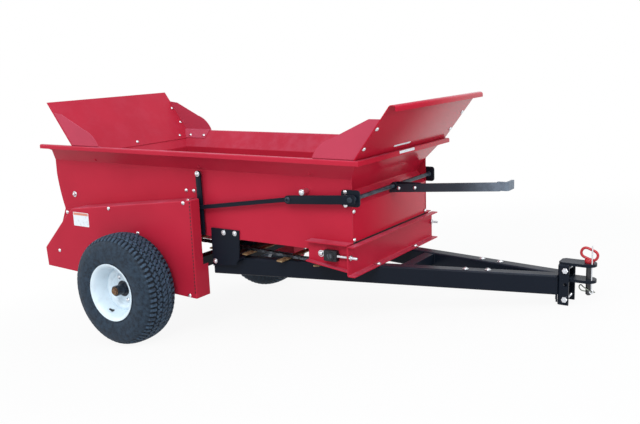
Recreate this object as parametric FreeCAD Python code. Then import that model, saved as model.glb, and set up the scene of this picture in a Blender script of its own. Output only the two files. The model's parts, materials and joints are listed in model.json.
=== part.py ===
"""Towed topdresser: a red sheet-steel hopper on two wheels, with an apron-chain floor,
a rear throwing rotor, an A-frame drawbar with a pin hitch and an over-centre clutch handle.

Everything is drawn in the level machine frame (X forward, Y to the left, Z up, the axle
above X = 0 and the tyres on Z = 0), then turned nose-down about the axle to the pose in
which the unhitched machine stands: on its two tyres and the foot of its hitch.
"""
import FreeCAD, Part
import math
import os

V = FreeCAD.Vector

# ---------------------------------------------------------------- driving dimensions (mm)
# wheels and axle
TYRE_D = 457.0
TYRE_W = 164.0
TYRE_GAP = 7.0           # between tyre and drive cover
TYRE_SECTION = ((0.0, 85.0), (6.0, 36.0), (26.0, 9.0), (62.0, 0.0))   # in and down
RIM_D = 203.2            # bead seat
RIM_FLANGE_D = 238.0
RIM_W = 154.0
RIM_T = 3.0
RIM_WELL = 14.0          # depth of the well
DISC_OUT = 5.0           # wheel disc, outboard of the tyre's centre
STUB_D = 28.0
HUB_D = 42.0
HUB_FLANGE_D = 130.0
HUB_FLANGE_T = 8.0
HUB_OUT = 49.0           # hub tube, outboard of the disc
HUB_IN = 58.0            # hub tube, inboard of the disc
COLLAR_R = 32.5          # collar that centres the disc
COLLAR_OUT = 7.0
DISC_T = 5.0
DISH_R = 66.0            # flat middle of the disc
DISH_TOP_R = 80.0        # ring pressed outward round it
DISH_H = 12.0
BEAM = 50.0              # square axle beam
BEAM_T = 5.0
BRACKET_T = 6.0
AXLE_PLATE_W = 150.0     # axle bracket, where it is bolted to the hopper
AXLE_PLATE_UP = 60.0     # and how far it reaches up the side panel
RUN_GAP = 0.05           # running clearance of shafts and pins, on the radius

# hopper
HOPPER_HALF_W = 293.0    # outer face of the side panels
SHEET = 3.0
BEND_R = 3.0             # inside radius of folds
SIDE_BOTTOM = 442.0
FOLD_Z = 708.0
FRONT_X = 990.0
REAR_X = -580.0
REAR_LOW_X = -545.0
SWELL_LOW = 486.0        # heights of the bowed rear edge of a side
SWELL_MID = 560.0
SWELL_TOP = 645.0
SWELL_IN = 14.0          # its middle, ahead of the chord
FLARE_OUT = 56.0
FLARE_UP = 74.0
LIP_W = 13.0
LIP_DROP = 15.0
RECESS_Z = 657.0         # where the front flare turns back out to the lower panel
PANEL_TOP = 614.0
PANEL_GAP = 3.0          # panel above the idler housing
REAR_WALL_X = -316.0
REAR_WALL_BOTTOM = 590.0
GATE_H = 120.0
GATE_BOTTOM = 530.0
GATE_CLEAR = 9.0         # gate to side panel
GATE_LIP = 24.0
GATE_SLOT_Y = 180.0
GATE_SLOT_L = 46.0
GATE_SLOT_W = 11.0
REAR_FLANGE = 28.0
FLOOR_END = 14.0         # floor clear of the chain's turns
HOOD_LOW = 490.0
HOOD_HIGH = 640.0
HOOD_LIP = 28.0
FLOOR_LIP = 16.0
BEARER_H = 30.0
BEARER_X = (-240.0, 110.0, 540.0, 750.0)
JOINT_GAP = 0.2          # between sheets that are bolted together

# extension boards
BOARD_TOP = 968.0
BOARD_OUT = 69.0         # ends of the boards, outboard of the side panels
BOARD_FOOT = 745.0
BOARD_LIP = 20.0
BOARD_LIP_DROP = 17.0
BOARD_ROLL_R = 8.0
WING_OUT = 67.0
WING_T = 2.5
WING_FRONT_L = 168.0     # foot of a front wing, back from the board
WING_REAR_L = 163.0
WING_FRONT_NOSE = ((30.0, 44.0), (76.0, 69.0))    # two points of its curve, from the tip
WING_REAR_NOSE = ((35.0, 46.0), (81.0, 70.0))
WING_FRONT_TOP = (62.0, 140.0)   # end of its top edge, from the board at the lip
WING_REAR_TOP = (56.0, 134.0)
WING_TAIL = 150.0        # length of its foot inside the flare

# rotor at the rear
ROTOR_X = -490.0
ROTOR_Z = 332.0
ROTOR_R = 88.0
ROTOR_CORE_R = 42.0
ROTOR_CORE_T = 4.0
ROTOR_SHAFT_R = 15.0
ROTOR_BLADES = 8
ROTOR_BLADE_T = 6.0
ROTOR_CLEAR = 10.0       # rotor to side panel
ROTOR_DRIVE_END = 50.0   # shaft beyond the side panel, drive side
ROTOR_BOSS_R = 38.0
ROTOR_BOSS_OUT = 20.0
CHUTE_REAR = -598.0
CHUTE_FRONT = -350.0
CHUTE_CUT = 60.0         # cut-off lower corners
CHUTE_BOTTOM = 236.0
CHUTE_UP = 46.0          # plate above the bottom edge of the side panel
CHUTE_T = 4.0

# apron chain
IDLER_X = 918.0
APRON_Z = 437.0
CHAIN_PITCH = 42.0
RUN_LINKS = 31           # links in the straight upper run
SPROCKET_TEETH = 6
CHAIN_T = 10.0
CHAIN_W = 22.0
CHAIN_BAR = 5.0          # side bar of a link
CHAIN_BARREL = 14.0      # barrel of a link, along the chain
CHAIN_IN = 88.0          # middle of a strand, inward from the side panel
CHAIN_SAG = 20.0
SAG_PEAK = 0.85          # where the return run hangs lowest, as a share of the run
SPROCKET_T = 9.0
TOOTH_H = 4.0            # tooth above the middle of its link
TOOTH_TIP = 9.0
TOOTH_ROOT = 18.0
SLAT_W = 25.0
SLAT_T = 5.0
SLAT_CLEAR = 20.0        # end of a slat to side panel
SLAT_EVERY = 4           # links from one slat to the next
APRON_SHAFT_R = 10.0
SHAFT_HOLE_GAP = 4.0     # hole in a side panel, round the shaft
DRIVE_SHAFT_END = 30.0   # drive shaft beyond the side panels

# housing of the front idler
HOUSING_WEB_OUT = 22.0   # outer face of a side web, outboard of the side panel
HOUSING_LEDGE = 22.0     # ledge and foot beyond the web
HOUSING_T = 4.0
HOUSING_TOP = 479.0
HOUSING_REAR = 815.0
HOUSING_FLANGE = 30.0
WEB_LOW_REAR = 30.0      # lower edge of the web below the shaft, at its rear end
WEB_LOW_FRONT = 52.0     # and at its front end
TAKE_UP_L = 54.0
TAKE_UP_H = 40.0
TAKE_UP_W = 20.0
TAKE_UP_BACK = 42.0      # slot behind the shaft
TAKE_UP_FORE = 20.0      # slot ahead of it
SCREW_R = 5.0
SCREW_REACH = 36.0       # end of the screw ahead of the front web
SCREW_NUT = 18.0
SCREW_NUT_L = 9.0

# drawbar and hitch
BAR_H = 68.0
BAR_W = 50.0
BAR_T = 5.0
BAR_REAR_X = 337.0
BAR_REAR_Z = 288.5       # underside there
BAR_FRONT_X = 1634.0
BAR_FRONT_Y = 43.0
BAR_RISE = 25.0          # underside, from the rear end to the hitch
BAR_CORNER = 7.0
BRACE = 40.0             # square cross tubes
BRACE_T = 4.0
BRACE_DROP = 3.0         # below the top of the members
BRACE_X = 1080.0
REAR_BRACE_IN = 14.0     # ahead of the rear end of the members
PLATE_UP = 36.0          # hopper bracket above the bottom edge of the side panel
PLATE_L = 141.0
PLATE_DOWN = 34.0        # bracket below the top of the member
PLATE_FOOT = 46.0        # foot over the member, inward from the bracket
HITCH_W = 80.0
HITCH_DEPTH = 39.0
HITCH_T = 6.0
HITCH_BOTTOM = 281.0
HITCH_TOP = 417.0
HITCH_BEND = 6.0         # inside radius of its folds
HOLE_PITCH = 50.0
HOLE_LOW = 302.0
HOLE_R = 6.5
HOLE_BACK = 27.0         # line of the holes ahead of the drawbar's nose
CLEVIS_T = 5.0
CLEVIS_END = 13.0        # clevis cheeks below the lowest hole
CLEVIS_BACK = 4.0        # front edge of its cheeks behind that of the channel
EAR_T = 10.0
EAR_W = 60.0
EAR_NOSE = 25.0          # ear beyond the pin
EAR_GAP = 45.0           # between the two ears
PIN_D = 19.0
PIN_REACH = 94.0         # pin ahead of the drawbar's nose
PIN_BELOW = 46.0         # pin below the lower ear
PIN_COLLAR_R = 15.0
PIN_COLLAR_H = 13.0
LOOP_L = 66.0
LOOP_H = 45.0
LOOP_WIRE = 9.0
CLIP_R = 2.0
CLIP_UP = 12.0           # clip above the tip of the pin
CLIP_CURL_R = 11.0
BOLT_R = 6.0
BOLT_HEAD = 19.0
BOLT_HEAD_T = 7.5
BOLT_NUT_T = 10.0
BOLT_END = 5.0

# drive covers
COVER_OUT = 84.0         # outer face, outboard of the side panel
COVER_T = 2.5
COVER_R = 5.0            # outside radius of its folds
COVER_STAND = 4.2        # open edge clear of the side panel, over the chute plate
COVER_REAR = -601.0
COVER_FRONT = 309.0
COVER_TOP_REAR = 318.0   # height where the sloping back begins
COVER_KNEE = (-440.0, 476.0)
COVER_BEND = (-396.0, 511.0)
COVER_TOP_FRONT = 599.0
COVER_LOW_REAR = 231.0
COVER_LOW_FRONT = 201.0
COVER_HOLE = 12.0        # round the hub
COVER_SLOT = 34.0        # slot beside the hopper for the clutch lever and its link
SLOT_REAR = 255.0
SLOT_LOW = 330.0

# clutch handle
SHAFT_X = 1003.0
SHAFT_Z = 643.0
SHAFT_R = 10.0
SHAFT_END = 5.0          # shaft beyond its bearing plate and its arm
PLATE_T = 8.0
PLATE_H = 58.0
PLATE_BACK = 26.0
ARM_LEN = 266.0
ARM_H = 32.0
ARM_T = 8.0
ARM_BOSS_R = 22.0
ARM_DROP = 4.0           # degrees below level at rest
ARM_PIN_R = 5.0
LINK_H = 16.0
LINK_T = 6.0
FACE_GAP = 1.0           # between arm, link and lever
STOP_REACH = 200.0       # stop stud, back along the arm
STOP_R = 11.0
STOP_GAP = 0.5
LEVER_X = 293.0
LEVER_Z = 693.0
LEVER_PIN_Z = 559.0
LEVER_FOOT_Z = 446.0
LEVER_W = 32.0
LEVER_T = 6.0
LEVER_STAND = 11.5       # lever clear of the side panel
LEVER_BOLT_R = 6.0
LEVER_BOLT_HEAD = 19.0
LEVER_BOLT_HEAD_T = 6.5
WASHER_GAP = 0.3
HANDLE_LEN = 446.0
HANDLE_RISE = 4.3        # degrees
HANDLE_H = 31.0
HANDLE_T = 10.0
HANDLE_BACK = 17.0       # tail of the bar behind the shaft
HANDLE_DROP = 11.0       # bar below the shaft
GRIP_W = 50.0
LUG_L = 104.0
LUG_H = 27.0

# ---------------------------------------------------------------- derived sizes
AXLE_Z = TYRE_D / 2
COVER_Y = HOPPER_HALF_W + COVER_OUT
WHEEL_Y = COVER_Y + TYRE_GAP + TYRE_W / 2       # centre of each tyre from the middle
INSIDE = HOPPER_HALF_W - SHEET - JOINT_GAP      # half width between the side panels
SIDE_FACE = HOPPER_HALF_W + JOINT_GAP           # what is bolted outside a side panel
BOARD_HALF_W = HOPPER_HALF_W + BOARD_OUT
WING_Y = HOPPER_HALF_W + WING_OUT
PANEL_BOTTOM = HOUSING_TOP + PANEL_GAP
HOUSING_WEB_Y = HOPPER_HALF_W + HOUSING_WEB_OUT
HOUSING_HALF_W = HOUSING_WEB_Y + HOUSING_LEDGE
SCREW_Y = HOUSING_WEB_Y + HOUSING_LEDGE / 2
APRON_R = CHAIN_PITCH / 2 / math.sin(math.pi / SPROCKET_TEETH)    # pitch radius
DRIVE_X = IDLER_X - RUN_LINKS * CHAIN_PITCH
FLOOR_Z = APRON_Z + APRON_R - CHAIN_T / 2 - JOINT_GAP             # chain slides on it
SLAT_L = 2 * (HOPPER_HALF_W - SHEET - SLAT_CLEAR)
CHAIN_Y = HOPPER_HALF_W - CHAIN_IN
BAR_REAR_Y = HOPPER_HALF_W                      # outer face of a member at its rear end
PIN_X = BAR_FRONT_X + PIN_REACH
HOLE_X = BAR_FRONT_X + JOINT_GAP + HOLE_BACK
FLARE_SLOPE = FLARE_OUT / FLARE_UP
LIP_TOP = FOLD_Z + FLARE_UP + SHEET
LIP_OUT = FLARE_OUT + LIP_W + SHEET
SLANT = SHEET * math.hypot(1, FLARE_SLOPE)      # a sheet's width, cut level on the flare
INNER_FOLD_Z = FOLD_Z + (SLANT - SHEET) / FLARE_SLOPE
BAR_SPLAY = (BAR_REAR_Y - BAR_FRONT_Y) / (BAR_FRONT_X - BAR_REAR_X)
DISC_Y = WHEEL_Y + DISC_OUT


# ---------------------------------------------------------------- drawing helpers
def wire(outline, place):
    """Closed wire; (a, b) is a corner, (a, b, c, d) an arc through (a, b) to (c, d)."""
    ends = [place(*item[-2:]) for item in outline]
    edges = []
    for i, item in enumerate(outline):
        start = ends[i - 1]
        if len(item) == 4:
            edges.append(Part.Arc(start, place(*item[:2]), ends[i]).toShape())
        elif start.distanceToPoint(ends[i]) > 1e-6:
            edges.append(Part.makeLine(start, ends[i]))
    return Part.Wire(edges)


def prism_y(outline, y0, y1):
    """Outline in X, Z carried from y0 to y1."""
    face = Part.Face(wire(outline, lambda a, b: V(a, y0, b)))
    return face.extrude(V(0, y1 - y0, 0))


def prism_x(outline, x0, x1):
    """Outline in Y, Z carried from x0 to x1."""
    face = Part.Face(wire(outline, lambda a, b: V(x0, a, b)))
    return face.extrude(V(x1 - x0, 0, 0))


def prism_z(outline, z0, z1):
    """Outline in X, Y carried from z0 to z1."""
    face = Part.Face(wire(outline, lambda a, b: V(a, b, z0)))
    return face.extrude(V(0, 0, z1 - z0))


def box(x0, x1, y0, y1, z0, z1):
    return Part.makeBox(x1 - x0, y1 - y0, z1 - z0, V(x0, y0, z0))


def rod(start, end, radius):
    start, end = V(*start), V(*end)
    return Part.makeCylinder(radius, start.distanceToPoint(end), start, end - start)


def rod_y(x, z, radius, y0, y1):
    return rod((x, y0, z), (x, y1, z), radius)


def turned(profile, x, z):
    """Profile of (Y, radius) turned about the line along Y through x, z."""
    face = Part.Face(wire([(y, r) for y, r in profile], lambda a, b: V(x, a, z + b)))
    return face.revolve(V(x, 0, z), V(0, 1, 0), 360)


def bent(path, thickness, radius=BEND_R):
    """Outline of a folded sheet that lies to the left of a path; the inside of each fold
    gets the radius, and with none the corners stay sharp."""
    def heading(a, b):
        length = math.hypot(b[0] - a[0], b[1] - a[1])
        return (b[0] - a[0]) / length, (b[1] - a[1]) / length

    def beside(point, d, reach):
        return point[0] - reach * d[1], point[1] + reach * d[0]

    first, last = heading(path[0], path[1]), heading(path[-2], path[-1])
    near, far = [path[0]], [beside(path[0], first, thickness)]
    for before, point, after in zip(path, path[1:], path[2:]):
        d, e = heading(before, point), heading(point, after)
        cosine = d[0] * e[0] + d[1] * e[1]
        if radius is None:
            reach = thickness / (1 + cosine)
            near.append(point)
            far.append(beside(beside(point, d, reach), e, reach))
            continue
        turn = math.atan2(d[0] * e[1] - d[1] * e[0], cosine)
        side = math.copysign(1, turn)
        near_r = radius + thickness if side > 0 else radius
        back = near_r * math.tan(abs(turn) / 2)
        centre = beside((point[0] - back * d[0], point[1] - back * d[1]), d, side * near_r)
        middle = heading(centre, point)
        for r, face in ((near_r, near), (2 * radius + thickness - near_r, far)):
            mid = (centre[0] + r * middle[0], centre[1] + r * middle[1])
            face.append((beside(centre, d, -side * r), mid, beside(centre, e, -side * r)))
    near.append(path[-1])
    far.append(beside(path[-1], last, thickness))
    outline = []
    for item in near:
        outline += [item[0], item[1] + item[2]] if len(item) == 3 else [item]
    for item in far[::-1]:
        outline += [item[2], item[1] + item[0]] if len(item) == 3 else [item]
    return outline


def bar_outline(x0, z0, x1, z1, height, end0=None, end1=None):
    """Flat bar from one eye to another, with round ends."""
    end0 = end0 or height / 2
    end1 = end1 or height / 2
    length = math.hypot(x1 - x0, z1 - z0)
    ux, uz = (x1 - x0) / length, (z1 - z0) / length

    def at(x, z, along, up):
        return (x + along * ux - up * uz, z + along * uz + up * ux)

    half = height / 2
    back = math.sqrt(max(end0 ** 2 - half ** 2, 0))
    front = math.sqrt(max(end1 ** 2 - half ** 2, 0))
    return [at(x0, z0, back, -half), at(x1, z1, -front, -half),
            at(x1, z1, end1, 0) + at(x1, z1, -front, half),
            at(x0, z0, back, half),
            at(x0, z0, -end0, 0) + at(x0, z0, back, -half)]


def hexagon(start, end, flats):
    """Hexagonal bar, such as a nut or a bolt's head, from start to end."""
    start, end = V(*start), V(*end)
    corner = flats / math.sqrt(3)
    ring = [V(corner * math.cos(math.pi / 3 * i), corner * math.sin(math.pi / 3 * i), 0)
            for i in range(7)]
    bar = Part.Face(Part.makePolygon(ring)).extrude(V(0, 0, start.distanceToPoint(end)))
    bar.Placement = FreeCAD.Placement(start, FreeCAD.Rotation(V(0, 0, 1), end - start))
    return bar


def rounded(solid, radius, least):
    """Rounds the edges of a solid that are longer than some length."""
    return solid.makeFillet(radius, [edge for edge in solid.Edges if edge.Length > least])


def mirrored(shape):
    return shape.mirror(V(0, 0, 0), V(0, 1, 0))


def fused(first, *others):
    return first.fuse(list(others)).removeSplitter()


nodes = {}


def pair(name, left):
    """A left-hand piece and its mirror image on the right."""
    nodes[name + "_left"] = left
    nodes[name + "_right"] = mirrored(left)


# ---------------------------------------------------------------- hopper
def side_panel():
    """Side, flare and turned-down lip folded from one sheet; mitred at the front corner."""
    y = HOPPER_HALF_W
    path = [(y, SIDE_BOTTOM), (y, FOLD_Z), (y + FLARE_OUT, FOLD_Z + FLARE_UP),
            (y + FLARE_OUT + LIP_W, FOLD_Z + FLARE_UP),
            (y + FLARE_OUT + LIP_W, FOLD_Z + FLARE_UP - LIP_DROP)]
    lip_rear = REAR_X - 6
    lip_low = LIP_TOP - LIP_DROP - SHEET
    reach = FRONT_X + LIP_OUT
    sheet = prism_x(bent(path, SHEET), lip_rear, reach)
    keep = prism_y([(REAR_LOW_X, SIDE_BOTTOM - 1), (REAR_LOW_X, SWELL_LOW),
                    (REAR_X + SWELL_IN, SWELL_MID, REAR_X, SWELL_TOP), (REAR_X, FOLD_Z),
                    (REAR_X + 29, lip_low - 10), (lip_rear, lip_low),
                    (lip_rear, LIP_TOP + 1), (reach, LIP_TOP + 1), (reach, FOLD_Z),
                    (FRONT_X, FOLD_Z), (FRONT_X, PANEL_BOTTOM),
                    (FRONT_X - 1, PANEL_BOTTOM), (FRONT_X - 1, SIDE_BOTTOM - 1)],
                   y - 10, y + LIP_OUT + 1)
    corner = FRONT_X - JOINT_GAP
    mitre = prism_z([(corner - 20, y - 20), (corner + LIP_OUT + 20, y + LIP_OUT + 20),
                     (corner + LIP_OUT + 20, y - 20)], FOLD_Z, LIP_TOP + 1)
    panel = sheet.common(keep).cut(mitre)
    for x in (DRIVE_X, IDLER_X):
        panel = panel.cut(rod_y(x, APRON_Z, APRON_SHAFT_R + SHAFT_HOLE_GAP, y - 10, y + 10))
    return panel


def between_sides(x0, x1, z0=SIDE_BOTTOM, z1=LIP_TOP - SHEET):
    """The space between the two side sheets, less the joint gap."""
    fold = INNER_FOLD_Z
    top = HOPPER_HALF_W + (z1 - FOLD_Z) * FLARE_SLOPE - SLANT - JOINT_GAP
    return prism_x([(-INSIDE, z0), (INSIDE, z0), (INSIDE, fold), (top, z1), (-top, z1),
                    (-INSIDE, fold)], x0, x1)


def front_wall():
    """Lower panel, sloping ledge, front flare and lip folded from one sheet."""
    path = [(FRONT_X - 2, PANEL_BOTTOM), (FRONT_X - 2, PANEL_TOP),
            (FRONT_X - (FOLD_Z - RECESS_Z) * FLARE_SLOPE, RECESS_Z),
            (FRONT_X + FLARE_OUT, FOLD_Z + FLARE_UP),
            (FRONT_X + FLARE_OUT + LIP_W, FOLD_Z + FLARE_UP),
            (FRONT_X + FLARE_OUT + LIP_W, FOLD_Z + FLARE_UP - LIP_DROP)]
    half = HOPPER_HALF_W + LIP_OUT
    sheet = prism_y(bent(path, SHEET), -half, half)
    lower = sheet.common(box(0, FRONT_X + half, -INSIDE, INSIDE, 0, FOLD_Z))
    inner = FRONT_X - HOPPER_HALF_W
    wedge = prism_z([(inner, 0), (inner + 2 * half, -2 * half), (inner + 2 * half, 2 * half)],
                    FOLD_Z, LIP_TOP + 1)
    return fused(lower, sheet.common(wedge))


def rear_wall():
    """Rear flare and wall above the apron, with turned flanges bolted to the sides."""
    path = [(REAR_WALL_X, REAR_WALL_BOTTOM), (REAR_WALL_X, FOLD_Z),
            (REAR_WALL_X - FLARE_OUT, FOLD_Z + FLARE_UP)]
    half = HOPPER_HALF_W + LIP_OUT
    sheet = prism_y(bent(path, SHEET), -half, half).common(between_sides(REAR_X, 0))
    for y0 in (-INSIDE, INSIDE - SHEET):
        flange = box(REAR_WALL_X - REAR_FLANGE, REAR_WALL_X - SHEET, y0, y0 + SHEET,
                     REAR_WALL_BOTTOM, FOLD_Z - 8)
        sheet = fused(sheet, flange)
    return sheet


def metering_gate():
    """Plate on the back of the rear wall that sets the height of the opening."""
    half = HOPPER_HALF_W - SHEET - GATE_CLEAR
    x = REAR_WALL_X - SHEET - JOINT_GAP
    path = [(x - GATE_LIP, GATE_BOTTOM), (x, GATE_BOTTOM), (x, GATE_BOTTOM + GATE_H)]
    gate = prism_y(bent(path, SHEET, None), -half, half)
    for y in (-GATE_SLOT_Y, GATE_SLOT_Y):
        slot = prism_y(bar_outline(0, 0, GATE_SLOT_L, 0, GATE_SLOT_W), -20, 20)
        slot.rotate(V(0, 0, 0), V(0, 1, 0), 90)
        slot.rotate(V(0, 0, 0), V(0, 0, 1), 90)
        slot.translate(V(x, y, GATE_BOTTOM + GATE_H - GATE_SLOT_W))
        gate = gate.cut(slot)
    return gate


def hopper_floor():
    """Floor sheet under the upper run of the apron, with side flanges turned up."""
    path = [(-INSIDE, FLOOR_Z + FLOOR_LIP), (-INSIDE, FLOOR_Z - SHEET),
            (INSIDE, FLOOR_Z - SHEET), (INSIDE, FLOOR_Z + FLOOR_LIP)]
    clear = APRON_R + FLOOR_END
    return prism_x(bent(path, SHEET, None), DRIVE_X + clear, IDLER_X - clear)


def floor_bearer(x):
    """Channel across the hopper under the floor."""
    top = FLOOR_Z - SHEET
    path = [(x + BEARER_H, top), (x, top), (x, top - BEARER_H), (x + BEARER_H, top - BEARER_H)]
    return prism_y(bent(path, SHEET, None), -INSIDE, INSIDE)


def rear_hood():
    """Sheet that closes the rear between the side panels, above the rotor."""
    low, high = REAR_LOW_X + SHEET, REAR_X + 2 * SHEET
    path = [(high + HOOD_LIP, FOLD_Z - 8), (high, FOLD_Z - 8), (high, HOOD_HIGH),
            (low, HOOD_LOW), (low, SIDE_BOTTOM + 4)]
    return prism_y(bent(path, SHEET, None), -INSIDE, INSIDE)


def chute_side():
    """Lower side plate that carries a rotor bearing, bolted to the side panel."""
    y0, y1 = SIDE_FACE, SIDE_FACE + CHUTE_T
    top = SIDE_BOTTOM + CHUTE_UP
    plate = prism_y([(CHUTE_REAR, CHUTE_BOTTOM), (CHUTE_FRONT - CHUTE_CUT, CHUTE_BOTTOM),
                     (CHUTE_FRONT, CHUTE_BOTTOM + CHUTE_CUT), (CHUTE_FRONT, top),
                     (CHUTE_REAR + CHUTE_CUT, top), (CHUTE_REAR, ROTOR_Z + CHUTE_CUT / 2)],
                    y0, y1)
    boss = rod_y(ROTOR_X, ROTOR_Z, ROTOR_BOSS_R, y0, HOPPER_HALF_W + ROTOR_BOSS_OUT)
    bore = rod_y(ROTOR_X, ROTOR_Z, ROTOR_SHAFT_R + RUN_GAP, y0 - 5, y1 + 40)
    apron_bore = rod_y(DRIVE_X, APRON_Z, APRON_SHAFT_R, y0 - 5, y1 + 40)
    return fused(plate, boss).cut(bore).cut(apron_bore)


pair("hopper_side", side_panel())
nodes["hopper_front"] = front_wall()
nodes["hopper_rear"] = rear_wall()
nodes["metering_gate"] = metering_gate()
nodes["hopper_floor"] = hopper_floor()
nodes["floor_bearers"] = Part.makeCompound([floor_bearer(x) for x in BEARER_X])
nodes["rear_hood"] = rear_hood()
pair("chute_side", chute_side())


# ---------------------------------------------------------------- extension boards
def board_edge(z, rear):
    """Contact line between a flare's inner face and the board on it."""
    if rear:
        return REAR_WALL_X - (z - FOLD_Z) * FLARE_SLOPE
    return FRONT_X + (z - FOLD_Z) * FLARE_SLOPE - SLANT


def board_blank(path, radius=BEND_R):
    reach = FRONT_X + BOARD_TOP
    sheet = prism_y(bent(path, SHEET, radius), -BOARD_HALF_W, BOARD_HALF_W)
    above = box(-reach, reach, -BOARD_HALF_W, BOARD_HALF_W, LIP_TOP + JOINT_GAP, reach)
    below = between_sides(-reach, reach, SIDE_BOTTOM, LIP_TOP + JOINT_GAP)
    return sheet.common(fused(above, below))


def front_board():
    """Sloping board on the front flare; its top edge is rolled forward."""
    top = board_edge(BOARD_TOP, False) - JOINT_GAP
    path = [(board_edge(BOARD_FOOT, False) - JOINT_GAP, BOARD_FOOT), (top, BOARD_TOP),
            (top + BOARD_LIP, BOARD_TOP), (top + BOARD_LIP, BOARD_TOP - BOARD_LIP_DROP)]
    return board_blank(path, BOARD_ROLL_R)


def rear_board():
    """Sloping board on the rear flare, with a plain top edge."""
    path = [(board_edge(BOARD_TOP, True) + JOINT_GAP, BOARD_TOP),
            (board_edge(BOARD_FOOT, True) + JOINT_GAP, BOARD_FOOT)]
    return board_blank(path)


def wing(rear):
    """Corner wing: stands on the lip, its foot follows the inside of the side flare."""
    def across(z):
        return HOPPER_HALF_W + (z - FOLD_Z) * FLARE_SLOPE - SLANT - JOINT_GAP

    foot = LIP_TOP + JOINT_GAP
    path = [(across(BOARD_FOOT + 4), BOARD_FOOT + 4), (across(foot), foot), (WING_Y, foot),
            (WING_Y, BOARD_TOP)]
    sheet = prism_x(bent(path, WING_T), REAR_X - FLARE_OUT, FRONT_X + BOARD_TOP)
    sign = -1 if rear else 1
    base = board_edge(foot, rear) - sign * (SLANT + 2 * JOINT_GAP)
    end = base - sign * (WING_REAR_L if rear else WING_FRONT_L)
    (a, b), (c, d) = WING_REAR_NOSE if rear else WING_FRONT_NOSE
    top_in, top_up = WING_REAR_TOP if rear else WING_FRONT_TOP
    corner = WING_FRONT_TOP[1]
    shape = [(base, foot), (end, foot), (end + sign * a, foot + b, end + sign * c, foot + d),
             (base + sign * top_in, foot + top_up),
             (base + sign * corner * FLARE_SLOPE, foot + corner)]
    tail = base - sign * WING_TAIL
    flange = [(base - sign * (foot - BOARD_FOOT) * FLARE_SLOPE, BOARD_FOOT), (base, foot + 1),
              (tail - sign * 10, foot + 1), (tail, BOARD_FOOT)]
    y0, y1 = HOPPER_HALF_W - FLARE_OUT, HOPPER_HALF_W + 2 * FLARE_OUT
    return sheet.common(fused(prism_y(shape, y0, y1), prism_y(flange, y0, y1)))


nodes["board_front"] = front_board()
nodes["board_rear"] = rear_board()
pair("wing_front", wing(False))
pair("wing_rear", wing(True))


# ---------------------------------------------------------------- idler housing and apron
def housing_side():
    """Outer web with outward flanges and the take-up slot, left-hand."""
    x0, x1 = HOUSING_REAR, FRONT_X
    y0, y1 = HOUSING_WEB_Y - HOUSING_T, HOUSING_WEB_Y
    low_rear, low_front = APRON_Z - WEB_LOW_REAR, APRON_Z - WEB_LOW_FRONT
    web = prism_y([(x0, low_rear), (x1, low_front), (x1, HOUSING_TOP), (x0, HOUSING_TOP)],
                  y0, y1)
    ledge = box(x0, x1, SIDE_FACE, HOUSING_HALF_W, HOUSING_TOP, HOUSING_TOP + HOUSING_T)
    foot = prism_y([(x0, low_rear), (x1, low_front), (x1, low_front + HOUSING_T),
                    (x0, low_rear + HOUSING_T)], y0, HOUSING_HALF_W)
    slot = prism_y(bar_outline(IDLER_X - TAKE_UP_BACK, APRON_Z, IDLER_X + TAKE_UP_FORE,
                               APRON_Z, 2 * APRON_SHAFT_R + 2), y0 - 5, y1 + 5)
    return fused(web, ledge, foot).cut(slot)


def idler_housing():
    """Channel across the front, open forward; the two side webs are welded behind it."""
    tip = FRONT_X + HOUSING_FLANGE
    low = bar_top(tip)
    path = [(tip, low), (FRONT_X, low), (FRONT_X, HOUSING_TOP), (tip, HOUSING_TOP)]
    housing = prism_y(bent(path[::-1], HOUSING_T), -HOUSING_HALF_W, HOUSING_HALF_W)
    for y in (-SCREW_Y, SCREW_Y):
        hole = rod((FRONT_X - 20, y, APRON_Z), (FRONT_X + 20, y, APRON_Z), SCREW_R + JOINT_GAP)
        housing = housing.cut(hole)
    return housing


def take_up():
    """Sliding bearing block with its adjusting screw and nut, left-hand."""
    y0 = HOUSING_WEB_Y + JOINT_GAP
    block = box(IDLER_X - TAKE_UP_L / 2, IDLER_X + TAKE_UP_L / 2, y0, y0 + TAKE_UP_W,
                APRON_Z - TAKE_UP_H / 2, APRON_Z + TAKE_UP_H / 2)
    block = block.cut(rod_y(IDLER_X, APRON_Z, APRON_SHAFT_R, y0 - 1, y0 + TAKE_UP_W + 1))
    screw = rod((IDLER_X + TAKE_UP_L / 2 - 5, SCREW_Y, APRON_Z),
                (FRONT_X + SCREW_REACH, SCREW_Y, APRON_Z), SCREW_R)
    seat = FRONT_X + HOUSING_T + JOINT_GAP
    nut = hexagon((seat, SCREW_Y, APRON_Z), (seat + SCREW_NUT_L, SCREW_Y, APRON_Z), SCREW_NUT)
    return fused(block, screw, nut)


def sprocket(x, y):
    """Toothed wheel for one strand of the apron chain."""
    flat = APRON_R * math.cos(math.pi / SPROCKET_TEETH)
    root, tip = flat - CHAIN_T / 2 - JOINT_GAP, flat + TOOTH_H
    outline = []
    for i in range(SPROCKET_TEETH):
        middle = 2 * math.pi / SPROCKET_TEETH * (i + 0.5)
        for across, out in ((-TOOTH_ROOT / 2, root), (-TOOTH_TIP / 2, tip),
                            (TOOTH_TIP / 2, tip), (TOOTH_ROOT / 2, root)):
            outline.append((x + out * math.sin(middle) + across * math.cos(middle),
                            APRON_Z + out * math.cos(middle) - across * math.sin(middle)))
    return prism_y(outline, y - SPROCKET_T / 2, y + SPROCKET_T / 2)


def apron_shaft(x, half):
    shaft = rod_y(x, APRON_Z, APRON_SHAFT_R, -half, half)
    return fused(shaft, sprocket(x, -CHAIN_Y), sprocket(x, CHAIN_Y))


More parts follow.
